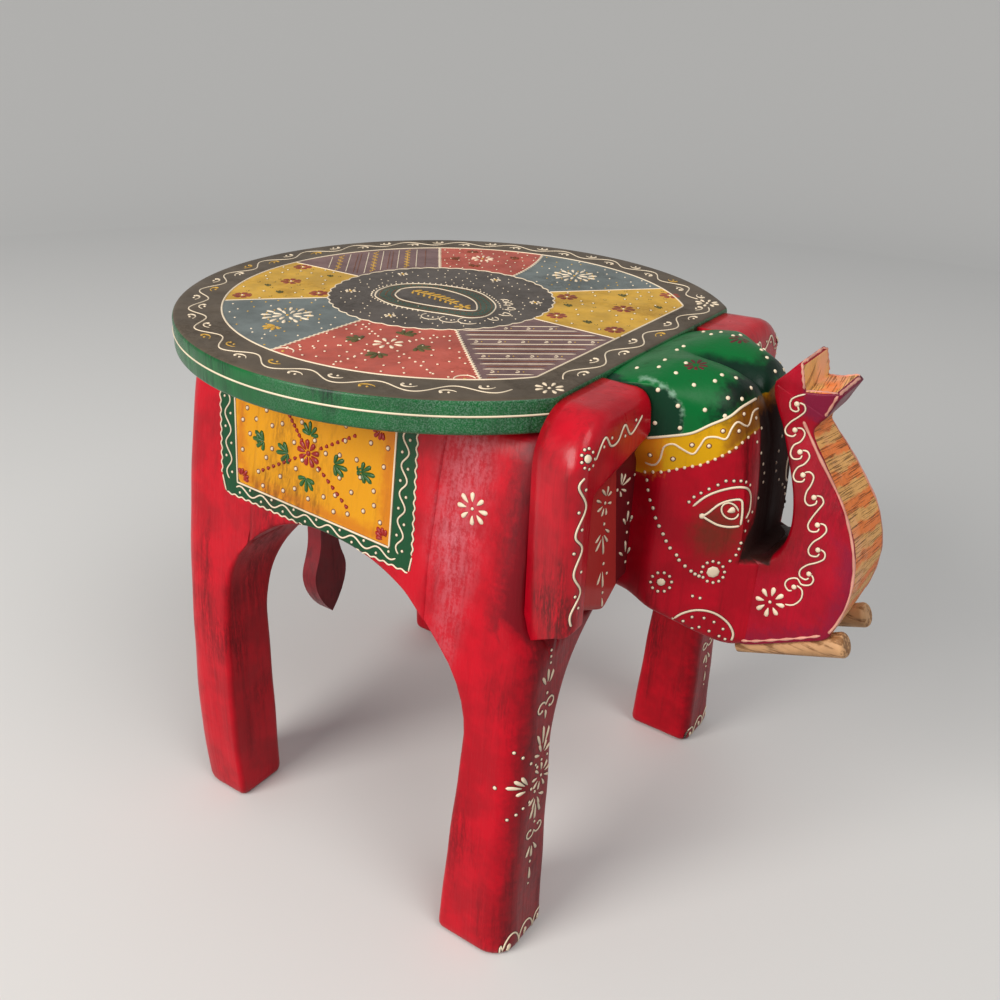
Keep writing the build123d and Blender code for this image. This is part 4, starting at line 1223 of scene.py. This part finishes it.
def castOn(tree, aim, slack=30.0):
    # a canvas: each drawn point goes along its ray to the surface, or to the nearest place on it where the
    # ray misses or goes far past its mark
    def canvas(points):
        # the places found for the points, and the surface's normals there, towards where the rays come from
        origins, marks = aim(points)
        ways = marks - origins
        ways /= np.linalg.norm(ways, axis=1)[:, None]
        found = []
        for o, d, mark in zip(origins.tolist(), ways.tolist(), marks.tolist()):
            hit, normal, _, _ = tree.ray_cast(o, d)
            if hit is None or (hit - Vector(mark)).length > slack:
                hit, normal, _, _ = tree.find_nearest(mark)
            found.append((*hit, *(normal if normal.dot(Vector(d)) < 0 else -normal)))
        found = np.array(found)
        return found[:, :3], found[:, 3:]
    return canvas


def throughPlane(axis, value):
    # drawn on the plane where that axis has that value, seen by the camera: rays leave the lens through it
    def aim(points):
        # the rays' origins and marks
        return np.tile(eyeAt, (len(points), 1)), np.insert(points, axis, value, axis=1)
    return aim


def fromBehind(points):
    # drawn as (y, z) on the upright plane of the rump: rays come from well behind it, straight forward
    return tuple(np.insert(points, 0, x, axis=1) for x in (body["rump"] - 96, body["rump"]))


def fromEye(points, far=485.0):
    # drawn on the camera's picture: each point's ray leaves the lens, and its mark is that far away
    middle = camera["picture"] / 2
    a, b = (points[:, :1] - middle) / focal, (middle - points[:, 1:]) / focal
    ways = rightWay * a + upWay * b - backWay
    ways /= np.linalg.norm(ways, axis=1)[:, None]
    return np.tile(eyeAt, (len(points), 1)), eyeAt + far * ways


def seatTop(points):
    # drawn as (x, y) on the flat top, whose normals point up
    n = len(points)
    return np.column_stack([points, np.full(n, seat["top"])]), np.tile([0.0, 0, 1], (n, 1))


def seatEdge(points):
    # drawn as the direction in degrees from the medallion's middle, and z
    turn = np.radians(points[:, 0])
    places = []
    for t in (turn - 0.004, turn, turn + 0.004):
        far = reach(t, seat["radius"], seat["chord"])
        places.append(np.column_stack([mid + far[:, None] * heading(t), points[:, 1]]))
    before, place, after = places
    normal = np.cross(after - before, [0.0, 0, 1])
    return place, normal / np.linalg.norm(normal, axis=1)[:, None]


seatMarks = {  # the seat's drawing, in mm as seen from above; wedges count round from the first border
    "vineRadius": 137.5, "vineTurns": (43, 317), "chordVine": [(111, 83), (111, -70)],
    "endFlowers": [(107.5, 89.5), (112, -83)], "arches": [((-10.5, -121.5), 0.2), ((77, -97.5), 0.75)],
    "toothed": (0, 1, 4, 5), "ladderTurn": 39.5, "ladderRows": (-49.3, -71, -92.8, -114.5),
    "ladder": [(-3.7, "line"), (3.7, "line"), (0, "curls"), (-7.4, "dark"), (-10.9, "line"), (-14.3, "dark")],
    "chainTurn": -52.3,
    "chains": [(-65.3, "line"), (-60.8, "dark"), (-58.6, "dark"), (-54.3, "line"), (-49.7, "chain"),
               (-45.1, "line"), (-41.2, "dark"), (-39, "dark"), (-35.3, "line"), (-29.7, "chain"),
               (-24, "line"), (-70.5, "chain"), (-76, "line"), (-18.5, "dark")],
    "rightCoral": (19, -81), "rays": [(-10, -66), (-13, -116), (33, -55), (62, -101), (20, -120)],
    "rightSprigs": [(16, -66, 1.6), (33, -77, 0.25), (5, -85, 3.35), (25, -95, -1.3)],
    "leftCoral": (-46, 88),
    "leftSprigs": [(-40, 72, -1.3), (-60, 97, 2.3), (-33, 101, 0.9), (-57, 78, 3.6)],
    "blue": [((20, 91), 3), ((-50, -79), 7)], "blueSprig": (-41, -96, -1.7),
    "yellow": [(41, 48, 6.0), (77, 48, 6.4), (84, 90, 6.0), (56, 13, 5.6), (92, 11, 5.4), (-96, -30, 6.0),
               (-67, -38, 5.4), (-114, -2, 5.6), (-95, -68, 5.4)],
    "yellowSprigs": [(50, 32, 4.4), (63, 70, 4.4), (74, 12, 4.4), (90, 62, 4.0), (-85, -52, 4.2),
                     (-100, -46, 3.6), (-88, -8, 3.6)],
    "outerDrop": [(-40.9, -20.9), (-46.2, -12.3), (-46.9, 1.9), (-39.2, 13.3), (-24.3, 21), (-3.8, 22.8),
                  (13, 14.1), (23.3, 3.3), (28.4, -11.7), (24, -20.9), (12, -23.5), (-2.9, -27),
                  (-21.3, -28.7), (-34, -25.2)],
    "innerDrop": [(-35, -10.3), (-38.4, -1.5), (-34.5, 7.4), (-23.8, 13.2), (-6.7, 12.2), (6.9, 6.2),
                  (15.8, -3.4), (17.4, -9.2), (7.2, -13.4), (-8.2, -17.1), (-23.4, -18.1), (-31, -14.6)],
    "stem": [(-32, 0.5), (-14, -0.5), (4, -5)], "stemFlower": (9, -7),
    "lobes": [(17.5, 16, 0.9, 5), (21.5, 12, 0.6, 6), (27, 6, 0.3, 6.5), (30.5, -3.5, 0.05, 7),
              (31, -13, -0.3, 6.5)],
    "bowls": [(26.5, -25.5), (17.5, -29.5), (7, -31.5)],
    "smallFlowers": [(-10, 51), (-59, 25), (-57, -23), (-10, -45), (34, 26)], "edgeLine": 292.6,
}
top = newSketch()
backArc = seatMarks["vineRadius"] * heading(np.radians(np.linspace(*seatMarks["vineTurns"], 90)))
for run in (backArc, np.linspace(*seatMarks["chordVine"], 30)):
    vine, *rest = wave(run, 4.2, 35)
    line(top, vine, 0.8, step=1.6)
    for at, side, sign in crests(*rest):
        way = squareTo(side)
        tone = gold if rng.random() < 0.3 else cream
        at = at + side * sign * 2.2 + way * 1.0
        comma(top, at, math.atan2(way[1], way[0]), -sign, 1.0, tone)
        dot(top, at + side * sign * 1.6 - way * 0.6, 0.7, tone)
for at in seatMarks["endFlowers"]:
    flower(top, at, 7.0, 8, 1.7)
turns = np.radians(np.linspace(0, 360, 241))
line(top, mid + heading(turns) * innerReach(turns)[:, None], 1.05, step=1.6, sharp=True, profile=level)
turns = np.radians(np.linspace(0, 360, 353))
scallop = seat["medallion"] + 1.3 * np.abs(np.sin(turns * seat["scallops"] / 2))
line(top, mid + heading(turns) * scallop[:, None], 0.85, step=1.1, sharp=True, profile=level)


def polar(turn, share):
    # points of the wedges: turn in degrees, share 0 at the medallion and 1 at the outline
    t = np.radians(turn)
    far = seat["medallion"] + (innerReach(t) - seat["medallion"]) * share
    return mid + far[:, None] * heading(t)


def inWedge(points, k, margin=1.5):
    # which points lie between wedge k's borders, the medallion and the outline, by at least the margin
    d = points - mid
    r, t = np.linalg.norm(d, axis=1), np.degrees(np.arctan2(d[:, 1], d[:, 0]))
    a, b = seat["borders"][k], seat["borders"][(k + 1) % 8]
    far = innerReach(np.radians(t))
    share = (r - seat["medallion"]) / (far - seat["medallion"])
    low, high = a[0] + (a[1] - a[0]) * share, b[0] + (b[1] - b[0]) * share
    high = np.where(high < low, high + 360, high)
    t = np.where(t < low - 180, t + 360, t)
    t = np.where(t < low, t + 360 * (t + 360 < high + 1), t)
    edge = np.degrees(margin / r)
    return (t > low + edge) & (t < high - edge) & (r > seat["medallion"] + margin + 1) & (r < far - margin)


for at, start in seatMarks["arches"]:
    line(top, np.array(at) + 5.0 * heading(np.linspace(start, start + math.pi, 9)), 0.8)
    dot(top, at, 0.9, gold)
for k, (a, b) in enumerate(seat["borders"]):
    share = np.linspace(0, 1, 12)
    rib = polar(a + (b - a) * share, share)
    line(top, rib, 0.85, sharp=True)
    if k in seatMarks["toothed"]:
        line(top, wave(rib, 0.9, 3.2)[0], 0.6, step=0.8)


def hatch(k, turn, gaps):
    # parallel lines across wedge k; gaps lists each line's distance from the seat's centre and its kind
    way = heading(math.radians(turn))
    for away, kind in gaps:
        run = squareTo(way) * away + way * np.linspace(-160, 160, 641)[:, None]
        held = inWedge(run, k, 1.0 if kind == "line" else 2.4)
        if held.sum() < 12:
            continue
        first, last = np.flatnonzero(held)[[0, -1]]
        run = run[first:last + 1]
        if kind in ("line", "dark"):
            line(top, run[[0, -1]], 0.6, cream if kind == "line" else umber, sharp=True, step=4)
        elif kind == "curls":
            for at in run[8::23]:
                curl(top, at, 1.5, math.radians(turn) + 2.4, -5.6, 0.6, cream, 0.6, False)
                dot(top, at + 3.0 * way, 0.45, gold)
        else:
            line(top, wave(run[[0, -1]], 1.5, 7.0)[0], 0.6, gold, 0.9)
            dots(top, run[8::7], 0.5, gold)


rungs = [(row + off, kind) for row in seatMarks["ladderRows"] for off, kind in seatMarks["ladder"]]
hatch(1, seatMarks["ladderTurn"], rungs)
hatch(5, seatMarks["chainTurn"], seatMarks["chains"])


def freeSpots(count, k, margin, spots, gap, clear, low, high):
    # seeded points in wedge k, further than the gap from the given spots
    def inside(p):
        # whether the one point p is free
        return inWedge(p, k, margin) & awayFrom(p, spots, gap)
    return scatter(count, inside, clear, low, high)


# the two coral wedges
flower(top, seatMarks["rightCoral"], 8.0, 8, 2.0)
for *at, turn in seatMarks["rightSprigs"]:
    sprig(top, at, turn, 8.5, olive)
for tip in seatMarks["rays"]:
    dots(top, np.linspace(seatMarks["rightCoral"], tip, 9)[3:], 0.7)
for at in freeSpots(60, 0, 2.5, [seatMarks["rightCoral"]], 10, 6.6, (-30, -125), (80, -40)):
    rimmedDot(top, at, 0.72, cream, brick)
flower(top, seatMarks["leftCoral"], 7.5, 10, 1.6, cream, gold)
for at in freeSpots(60, 4, 2.5, [seatMarks["leftCoral"]], 9, 6.2, (-95, 50), (0, 126)):
    rimmedDot(top, at, 0.62, cream, umber)
for *at, turn in seatMarks["leftSprigs"]:
    sprig(top, at, turn, 6.0, umber)
# the blue ones
for middle, k in seatMarks["blue"]:
    flower(top, middle, 14, 12, 1.9, cream, None, 0.1, 0.55)
    flower(top, middle, 8.4, 8, 1.7, cream, gold, 0.3, 0.3)
    dots(top, around(middle, 11.5, 12, 0.35), 0.6, gold)
    for at in freeSpots(40, k, 2.2, [middle], 16, 5.5, (-125, -125), (100, 125)):
        dot(top, at, 0.6, gold if rng.random() < 0.4 else cream)
sprig(top, seatMarks["blueSprig"][:2], seatMarks["blueSprig"][2], 8.0, gold)
# the yellow ones
for *at, size in seatMarks["yellow"]:
    flower(top, at, size * 1.1, 7, -3.6, rust, None, 0.3, 0.12)
    dot(top, at, 0.7)
for *at, size in seatMarks["yellowSprigs"]:
    sprig(top, at, 1.2, size, olive)
spots = np.array(seatMarks["yellow"])[:, :2]
for k in (2, 6):
    for at in freeSpots(70, k, 2.4, spots, 7.6, 6.4, (-125, -100), (100, 110)):
        rimmedDot(top, at, 0.68, cream if rng.random() < 0.6 else gold, olive)
# the medallion
outerDrop, innerDrop = (finer(seatMarks[key] + seatMarks[key][:2], 90) for key in ("outerDrop", "innerDrop"))
between = (outerDrop + innerDrop) / 2
line(top, between, -9.5, moss, profile=level)
line(top, outerDrop, 0.9)
line(top, innerDrop, 0.9)
line(top, outerDrop * 0.8 + innerDrop * 0.2, 0.5, umber)
line(top, outerDrop * 0.2 + innerDrop * 0.8, 0.5, umber)
dots(top, between, 0.5, umber, 3.2)
line(top, seatMarks["stem"], 0.8, gold)
for k in range(8):
    for sign in (-1, 1):
        petal(top, (-31 + 4.2 * k, 0.4 - 0.08 * k * k), sign * 0.9 - 0.1, 6.6 - 0.4 * abs(k - 3), 1.5, gold)
flower(top, seatMarks["stemFlower"], 5.2, 5, 2.2, gold, gold, 0.0, 0.1)
for *at, turn, long in seatMarks["lobes"]:
    way, side = heading(turn) * long, squareTo(heading(turn))
    lobe = [(-2.2, 0), (-2.4, 0.6), (0, 1), (2.4, 0.6), (2.2, 0)]  # shares of the side and of the way
    line(top, [at + way * b + side * a for a, b in lobe], 0.65)
    dot(top, at + way * 0.35, 0.6)
for at in seatMarks["bowls"]:
    line(top, np.array(at) + 5.6 * heading(np.linspace(-0.3, math.pi + 0.3, 9) + math.pi - 0.25), 0.65)
    dots(top, np.array(at) + [(-1.6, -1.0), (1.6, -1.2)], 0.6)
outside = outerDrop + (outerDrop - outerDrop.mean(0)) * 0.07
dots(top, outside[:42], 0.55, gap=3.3)
dots(top, outside[66:], 0.55, gap=3.3)
for at in seatMarks["smallFlowers"]:
    flower(top, at, 3.4, 6, 1.1, cream, gold, 0.4, 0.3)


def inMedallion(p):
    # whether a point lies inside the scallops and clear of the drop, its lobes and its bowls
    x, y = p[0]
    clear = x > 22 or x < -50 or abs(y - 3) > 24
    return np.hypot(*(p[0] - mid)) < 57 and clear and awayFrom(p, outerDrop[::4], 6)


for at in scatter(120, inMedallion, 4.6, (-75, -60), (50, 66)):
    dot(top, at, 0.45)
seatRelief = raiseSketch("seat_ornament", top, seatTop, height=0.42)

edge = newSketch(1.9)
allRound = np.linspace((-180, seatMarks["edgeLine"]), (180, seatMarks["edgeLine"]), 200)
line(edge, allRound, 1.0, step=2.0, sharp=True, profile=level)
raiseSketch("seat_edge_line", edge, seatEdge, height=0.4)
print("seat ornament done", len(seatRelief.data.polygons))

flankTree = treeOf(haunch, belly, shoulder)
flank = newSketch()
line(flank, cloth["fieldLine"], 1.1, sharp=True)
for a, b in zip(cloth["hemLine"][:-1], cloth["hemLine"][1:]):
    if towards(a, b)[1] > 20:
        line(flank, wave([a, b], 0.5, 5.6)[0], 0.9, step=1.0)
    else:
        line(flank, [a, b], 0.9, sharp=True)
for run in cloth["borders"]:
    beadedVine(flank, run, 2.0, 16, 0.95, 1.2)
flower(flank, cloth["heart"], 8.0, 9, 2.9, brick, None, 0.2, 0.2)
dot(flank, cloth["heart"], 1.7, brick)
for tip in cloth["rays"]:
    for at in np.linspace(cloth["heart"], tip, 9)[2:]:
        petal(flank, at, towards(cloth["heart"], tip)[0], 3.0, 2.1, brick)
for *at, turn, size in cloth["sprigs"]:
    sprig(flank, at, turn, size)
for *at, turn in cloth["cornerFans"]:
    fan(flank, at, turn, 8.5, 5, 0.38, 2.2, brick)


def inField(p):
    # whether a point lies inside the cloth's leaning field and clear of what is drawn on it
    x, z = p[0]
    leaning = -56 + (z - 283) * 0.07 < x < 45 + (z - 283) * 0.09
    return leaning and 214 < z < 281 and awayFrom(p, cloth["clear"], 5.2)


for at in scatter(56, inField, 7.6, (-66, 210), (50, 282)):
    rimmedDot(flank, at, 1.05)
flower(flank, cloth["shoulderFlower"], 8.6, 8, 2.3, turn=0.0)
raiseSketch("flank_ornament", flank, castOn(flankTree, throughPlane(1, -cloth["plane"])), mirror=True,
            halo=0.5)

# the front legs, drawn as (y, z) on the upright plane of their fronts, from the top down
leg = newSketch()
dots(leg, [(-99, 180), (-99, 176.5), (-99, 173)], 0.8)
fan(leg, (-100.5, 159), 1.57, 11.5, 3, 0.5, 1.8)
dot(leg, (-100.5, 156.5), 0.9)
for sign in (-1, 1):
    curl(leg, (-101 + sign * 4, 149), 4.4, 1.57 + 1.57 * sign, sign * -5.2, shrink=0.35)
petal(leg, (-101, 141), 1.57, 6, 1.5)
fan(leg, (-101.6, 121), 1.57, 17, 3, 0.36, 1.7)
fan(leg, (-101.6, 119.5), 1.57, 9.5, 4, 0.72, 1.7)
dots(leg, [(-107, 117), (-96.5, 117)], 0.8, gap=5.2)
flower(leg, (-101.4, 107), 8.4, 9, 1.5)
dots(leg, [(-127.2, 138), (-119, 129.5), (-111.4, 120.9), (-105.5, 114.7)], 0.95)
dots(leg, [(-130.5, 99.6), (-122.6, 96.8), (-116.4, 96.3), (-111, 96.5), (-110, 104), (-106.5, 100)], 0.9)
dot(leg, (-142.2, 127.8), 1.1)
root = np.array([-110, 104.0])
for tip in ((-134, 121.6), (-126.5, 120.5), (-119.5, 118), (-124, 109.5)):
    turn, long = towards(root, tip)
    petal(leg, root + 0.3 * (tip - root), turn, 0.7 * long, 2.1)
fan(leg, (-104.6, 96), -1.62, 15, 3, 0.36, 1.7)
fan(leg, (-104.6, 97.5), -1.62, 9.5, 4, 0.7, 1.7)
dot(leg, (-105, 79.5), 0.9)
for sign in (-1, 1):
    curl(leg, (-105 + sign * 4, 74.5), 4.2, -1.57 - 1.57 * sign, sign * 5.2, shrink=0.35)
fan(leg, (-106.2, 68), -1.6, 11.5, 3, 0.5, 1.8)
dot(leg, (-107, 54), 0.9)
petal(leg, (-107, 50.5), -1.57, 9, 1.9)
dot(leg, (-107.5, 39), 0.75)
for middle, wide, tall in ((-122, 8.5, 12), (-107, 6.5, 9.5), (-95, 5, 8)):  # toenails
    line(leg, (middle, 2) + heading(np.linspace(math.pi * 1.08, -0.15, 9)) * (wide, tall), 1.1)
    petal(leg, (middle - wide * 0.3, 2.5), 1.2, tall * 0.55, 2.6)
legCanvas = castOn(flankTree, throughPlane(0, body["legFront"]), 70)
raiseSketch("front_leg_ornament", leg, legCanvas, mirror=True, halo=0.9)

rearLeg = newSketch()
heights = np.linspace(22, 262, 50)
beadedVine(rearLeg, np.stack([8.4 - outerHalf(heights, body["rearFoot"]), heights], 1), 2.6, 15, 0.9)
raiseSketch("rear_leg_ornament", rearLeg, castOn(flankTree, fromBehind), mirror=True)
print("body ornament done")

earMarks = {
    "up": [(595, 462), (605, 438), (611, 446), (618, 441), (625, 425), (631, 434), (643, 414)],
    "down": [(585, 478), (579, 488), (586, 507), (575.5, 536), (582, 549), (573.6, 575), (580, 592),
             (570, 616), (571, 627)],
    "dots": [(586, 490), (579, 513), (582, 530), (574, 554), (581, 572), (575, 597), (578, 608), (604, 447),
             (612, 438), (625, 436), (636, 420)],
    "star": (588, 459),
    # each drop's root and tip
    "drops": [(606.5, 496.5, 602, 489.5), (606.7, 496.5, 608.3, 485.5), (607.5, 496.5, 611.5, 491),
              (602, 503, 596.5, 500.5), (607.5, 503.2, 611, 502.5), (603, 506, 597, 512),
              (604, 507.5, 601, 517), (606, 507.5, 605.6, 515.5), (601, 534, 595, 543.5),
              (601.8, 538, 595, 552.5), (602.5, 534.5, 603, 555.5), (603.6, 534.5, 607.5, 542),
              (601, 572, 596.5, 586), (602.3, 570, 602.2, 588.5), (601.8, 597, 601.8, 607),
              (605, 529, 609, 532), (621, 485.5, 621.6, 472.5), (621.4, 486, 625.8, 473),
              (622, 486, 631, 477), (620, 491, 620.8, 497), (621, 489, 626, 491), (626.7, 522.5, 628.2, 510),
              (629.5, 522.5, 632.5, 515), (625.8, 525, 623, 518.5), (625.2, 553, 625, 540),
              (627, 554, 630, 547), (623, 556, 619, 552.5)],
    "beads": [(605, 503), (604, 524), (603.3, 563.5), (606.5, 573), (602.2, 592.5), (634.5, 474.5),
              (617.2, 490), (627.8, 503), (626.6, 532.2), (625, 561.7)],
}
earSketch = newSketch(0.55)
line(earSketch, earMarks["up"], 1.1)
line(earSketch, earMarks["down"], 1.1)
dots(earSketch, earMarks["dots"], 0.8)
dot(earSketch, earMarks["star"], 2.0)
dots(earSketch, around(earMarks["star"], (6.5, 10.5), 9), 0.72)
for *root, x, y in earMarks["drops"]:
    petal(earSketch, root, *towards(root, (x, y)), 1.35)
dots(earSketch, earMarks["beads"], 0.85)
raiseSketch("ear_ornament", earSketch, castOn(treeOf(ears[-1], headPiece), fromEye, 70), mirror=True,
            halo=0.7)

headTree = treeOf(headPiece)
capSketch = newSketch(0.55)
dots(capSketch, capMarks["dots"], 1.1)
line(capSketch, capMarks["line"], 1.3)
line(capSketch, capMarks["wave"], 1.0)
for at in capMarks["bandDots"]:
    rimmedDot(capSketch, at, 0.95)
dots(capSketch, capMarks["beads"], 0.85, gap=4.4)
for middle in capMarks["brushes"]:
    for root in around(middle, (2.0, 1.0), 9, 0.2):
        c, s = (root - middle) / (2.0, 1.0)
        petal(capSketch, root, math.atan2(0.42 * s, c), 4 + 7 * abs(c), -1.9, maroon)
raiseSketch("cap_ornament", capSketch, castOn(headTree, fromEye, 80), mirror=True,
            keep=lambda at: at[:, 1] < 1)

faceMarks = {
    "row": [(647, 480), (648, 490), (650, 500), (653, 508), (655.5, 518), (659, 526), (663, 534), (666, 541),
            (670, 548), (676.5, 555), (679, 560), (685, 566), (691, 571), (695, 574), (699, 576)],
    "farRow": [(730, 561), (736, 555), (739, 549), (741, 543), (745, 531), (748, 521), (752, 512), (758, 498),
               (763, 482), (764, 473), (763, 464), (761, 453), (757, 442)],
    "lid": [(702, 516), (708, 513), (719, 504.5), (730, 500.5), (741, 500), (742.5, 508), (742, 516),
            (740.5, 526)],
    "under": [(702, 516), (710, 521), (718, 525), (729, 527), (740.5, 526)], "eye": (730, 511),
    "brow": [(692, 507), (705, 497), (719, 491), (735, 487.5), (746, 488), (750, 493), (750.5, 501),
             (749, 511), (745.5, 519)],
    "browDots": [(689, 502), (694, 497), (701, 493), (709, 489), (718, 485), (726, 481), (734, 481),
                 (741, 481), (746, 482), (750, 485)],
    "mouth": [(671, 620), (683, 613), (698, 610), (714, 613), (727, 622), (733, 633), (731, 641)],
    "mouthDots": [(683, 621), (692, 617), (704, 618), (714, 622), (723, 629), (699, 627), (709, 631),
                  (719, 636), (692, 628), (703, 637), (712, 641), (725, 639)],
    "stars": [(713, 572, 3.3, 11.5, 12), (661, 582, 2.2, 10.5, 10)],
}
face = newSketch(0.52)
dots(face, faceMarks["row"], 0.95)
dots(face, faceMarks["farRow"], 0.8)
line(face, faceMarks["lid"], 1.15)
line(face, faceMarks["under"], 1.15)
dot(face, faceMarks["lid"][0], 1.5)
a = np.linspace(0, 2 * np.pi, 17)
line(face, faceMarks["eye"] + np.stack([8.6 * np.cos(a), 8.0 * np.sin(a) + 1.5 * np.cos(a)], 1), 0.9)
petal(face, (727, 512), -0.35, 9, 3.2)
line(face, faceMarks["brow"], 1.2)
dots(face, faceMarks["browDots"], 0.8)
line(face, faceMarks["mouth"], 1.2)
dots(face, faceMarks["mouthDots"], 0.8)
for *at, radius, ringRadius, count in faceMarks["stars"]:
    dot(face, at, radius)
    dots(face, around(at, (ringRadius, 0.92 * ringRadius), count), 0.82)
raiseSketch("face_ornament", face, castOn(headTree, fromEye, 80), mirror=True, halo=0.7)

trunkMarks = {
    "curl": [(807, 394), (798, 396), (791, 400), (790.5, 408), (795, 411.5), (799, 410), (797, 404)],
    "scroll": [(797, 404), (795, 430), (800, 452), (803, 475), (814, 497.5), (817.5, 525), (818, 550),
               (809, 574), (794, 587)],
    "hook": [(796, 585), (802, 590), (801, 599), (793, 605), (784, 604)], "flower": (770, 602),
    "frontEdge": [(803.5, 421), (811, 438), (820, 458), (832, 482), (843, 507), (850, 532), (853.5, 556),
                  (853.5, 577), (848, 602), (838, 622), (828, 634)],
    "lipEdges": [[(802, 362), (803, 374), (804.5, 390)], [(804.5, 391), (822, 392), (839, 394)],
                 [(839, 394), (832, 406), (825, 417)], [(839, 394.5), (850, 386), (861, 377.5)],
                 [(801.5, 363.5), (811.5, 356.5), (821.5, 350)]],
    "footEdge": [(191, 169.6), (198, 171.2), (210, 176.8), (222, 182.8),
                 (231.5, 188)],  # x and z, unlike the others
}
trunkSketch = newSketch(0.5)
line(trunkSketch, trunkMarks["curl"], 0.85)
for a, b in zip(trunkMarks["scroll"][:-1], trunkMarks["scroll"][1:]):
    turn, long = towards(a, b)
    way = (np.array(b) - a) / long
    bow = [(2, -1.5), (7.5, 0.5), (8.8, 6.5), (3, 12.5), (-4.5, long - 8), (-9.5, long - 1), (-8, long + 5),
           (-1.5, long + 6.5), (1.5, long + 3.5)]  # steps to the right of the run and along it
    line(trunkSketch, a + np.array(bow) @ np.array([-squareTo(way), way]), 0.85, step=1.0)
    dot(trunkSketch, b, 1.35)
line(trunkSketch, trunkMarks["hook"], 0.85)
dot(trunkSketch, trunkMarks["scroll"][0], 1.4)
line(trunkSketch, trunkMarks["frontEdge"], 1.5, blush,
     profile=lambda t: 0.9 + 0.25 * np.sin(23 * t) * np.sin(51 * t))
for run in trunkMarks["lipEdges"]:
    line(trunkSketch, run, 1.5, blush, profile=lambda t: 0.8 + 0.3 * np.sin(31 * t))
flower(trunkSketch, trunkMarks["flower"], 15.5, 8, 2.3, turn=0.3)
trunkTree = treeOf(trunkPiece)
raiseSketch("trunk_ornament", trunkSketch, castOn(trunkTree, fromEye, 80), mirror=True, halo=0.5)
trunkFoot = newSketch()  # the worn lower edge, drawn on an upright plane just inside the trunk's side
line(trunkFoot, trunkMarks["footEdge"], 1.3, blush, profile=lambda t: 0.9 + 0.4 * np.sin(43 * t))
raiseSketch("trunk_foot_edge", trunkFoot, castOn(trunkTree, throughPlane(1, -22.0), 40), mirror=True)
print("ornament done")

finishes = {"tusk_right": tuskPaint, "tusk_left": tuskPaint, "tail": tailPaint, "seat_screws": screwSteel,
            "tail_nails": screwSteel}
for name, piece in nodes.items():
    piece.data.materials.clear()
    piece.data.materials.append(finishes.get(name, innerWood))

stage = {  # in metres and watts; each lamp's place, power and tint
    "window": ((-0.6, -2.0, 1.25), 45, (1.0, 0.97, 0.93)), "fill": ((1.3, -0.5, 2.2), 21, (1.0, 0.98, 0.96)),
    "aim": (0, 0, 0.15), "size": 1.4, "flat": 1.7, "rise": 1.1, "high": 4.2, "below": 0.0006,
}


def lamp(name, at, watts, tint):
    # a round lamp turned to the middle of the stool
    made = bpy.data.lights.new(name, "AREA")
    made.shape, made.size, made.energy, made.color = "DISK", stage["size"], watts, tint
    holder = bpy.data.objects.new(name, made)
    holder.location = at
    holder.rotation_euler = (Vector(at) - Vector(stage["aim"])).to_track_quat("Z", "Y").to_euler()
    bpy.context.scene.collection.objects.link(holder)


def ringSheet(name, r, z):
    # a sheet turned round the upright axis from a row of radii and heights; its normals point in and up
    circle = np.linspace(0, 2 * np.pi, 97)[:-1]
    points = np.stack([r[:, None] * np.cos(circle), r[:, None] * np.sin(circle), z[:, None] + 0 * circle], -1)
    mesh = bpy.data.meshes.new(name)
    mesh.from_pydata(points.reshape(-1, 3).tolist(), [], gridFaces(len(r), 96, True)[:, ::-1].tolist())
    mesh.shade_smooth()
    made = bpy.data.objects.new(name, mesh)
    bpy.context.scene.collection.objects.link(made)
    return made


def plainlySeen(tree):
    # 1 where the camera sees the backdrop, straight or in a reflection
    path = node(tree, "LightPath").outputs
    mirrored = maths(tree, "MAXIMUM", path["Is Glossy Ray"], path["Is Transmission Ray"])
    return maths(tree, "MAXIMUM", path["Is Camera Ray"], mirrored)


for name in ("window", "fill"):
    lamp(name, *stage[name])
turn = np.linspace(0, np.pi / 2, 24)
reachOut = stage["flat"] + stage["rise"]
floor = ringSheet("floor", np.array([0.0, 0.6, stage["flat"]]), np.full(3, -stage["below"]))
wall = ringSheet("wall", np.append(stage["flat"] + stage["rise"] * np.sin(turn), reachOut),
                 np.append(stage["rise"] * (1 - np.cos(turn)), stage["high"]) - stage["below"])
wall.visible_diffuse = wall.visible_shadow = False  # the room's light passes it
floorPaint = bpy.data.materials.new("floorPaint")
floorPaint.use_nodes = True
tree = floorPaint.node_tree
shader = tree.nodes["Principled BSDF"]
shader.inputs["Roughness"].default_value = 0.9
grey = mixColour(tree, plainlySeen(tree), (0.3, 0.29, 0.28, 1), (0.74, 0.73, 0.71, 1))
tree.links.new(grey, shader.inputs["Base Color"])
# from below or outside the sheet lets everything through
clear = node(tree, "BsdfTransparent")
behind = node(tree, "NewGeometry").outputs["Backfacing"]
mixed = node(tree, "MixShader", {0: behind, 1: shader.outputs[0], 2: clear.outputs[0]})
tree.links.new(mixed.outputs[0], tree.nodes["Material Output"].inputs["Surface"])
for sheet in (floor, wall):
    sheet.data.materials.append(floorPaint)
world = bpy.data.worlds.new("world")
bpy.context.scene.world = world
world.use_nodes = True
tree = world.node_tree
sky = mixColour(tree, plainlySeen(tree), (0.62, 0.64, 0.66, 1), (0.9, 0.9, 0.9, 1))
tree.links.new(sky, tree.nodes["Background"].inputs["Color"])
tree.nodes["Background"].inputs["Strength"].default_value = 0.5
bpy.context.scene.view_settings.view_transform = "Standard"
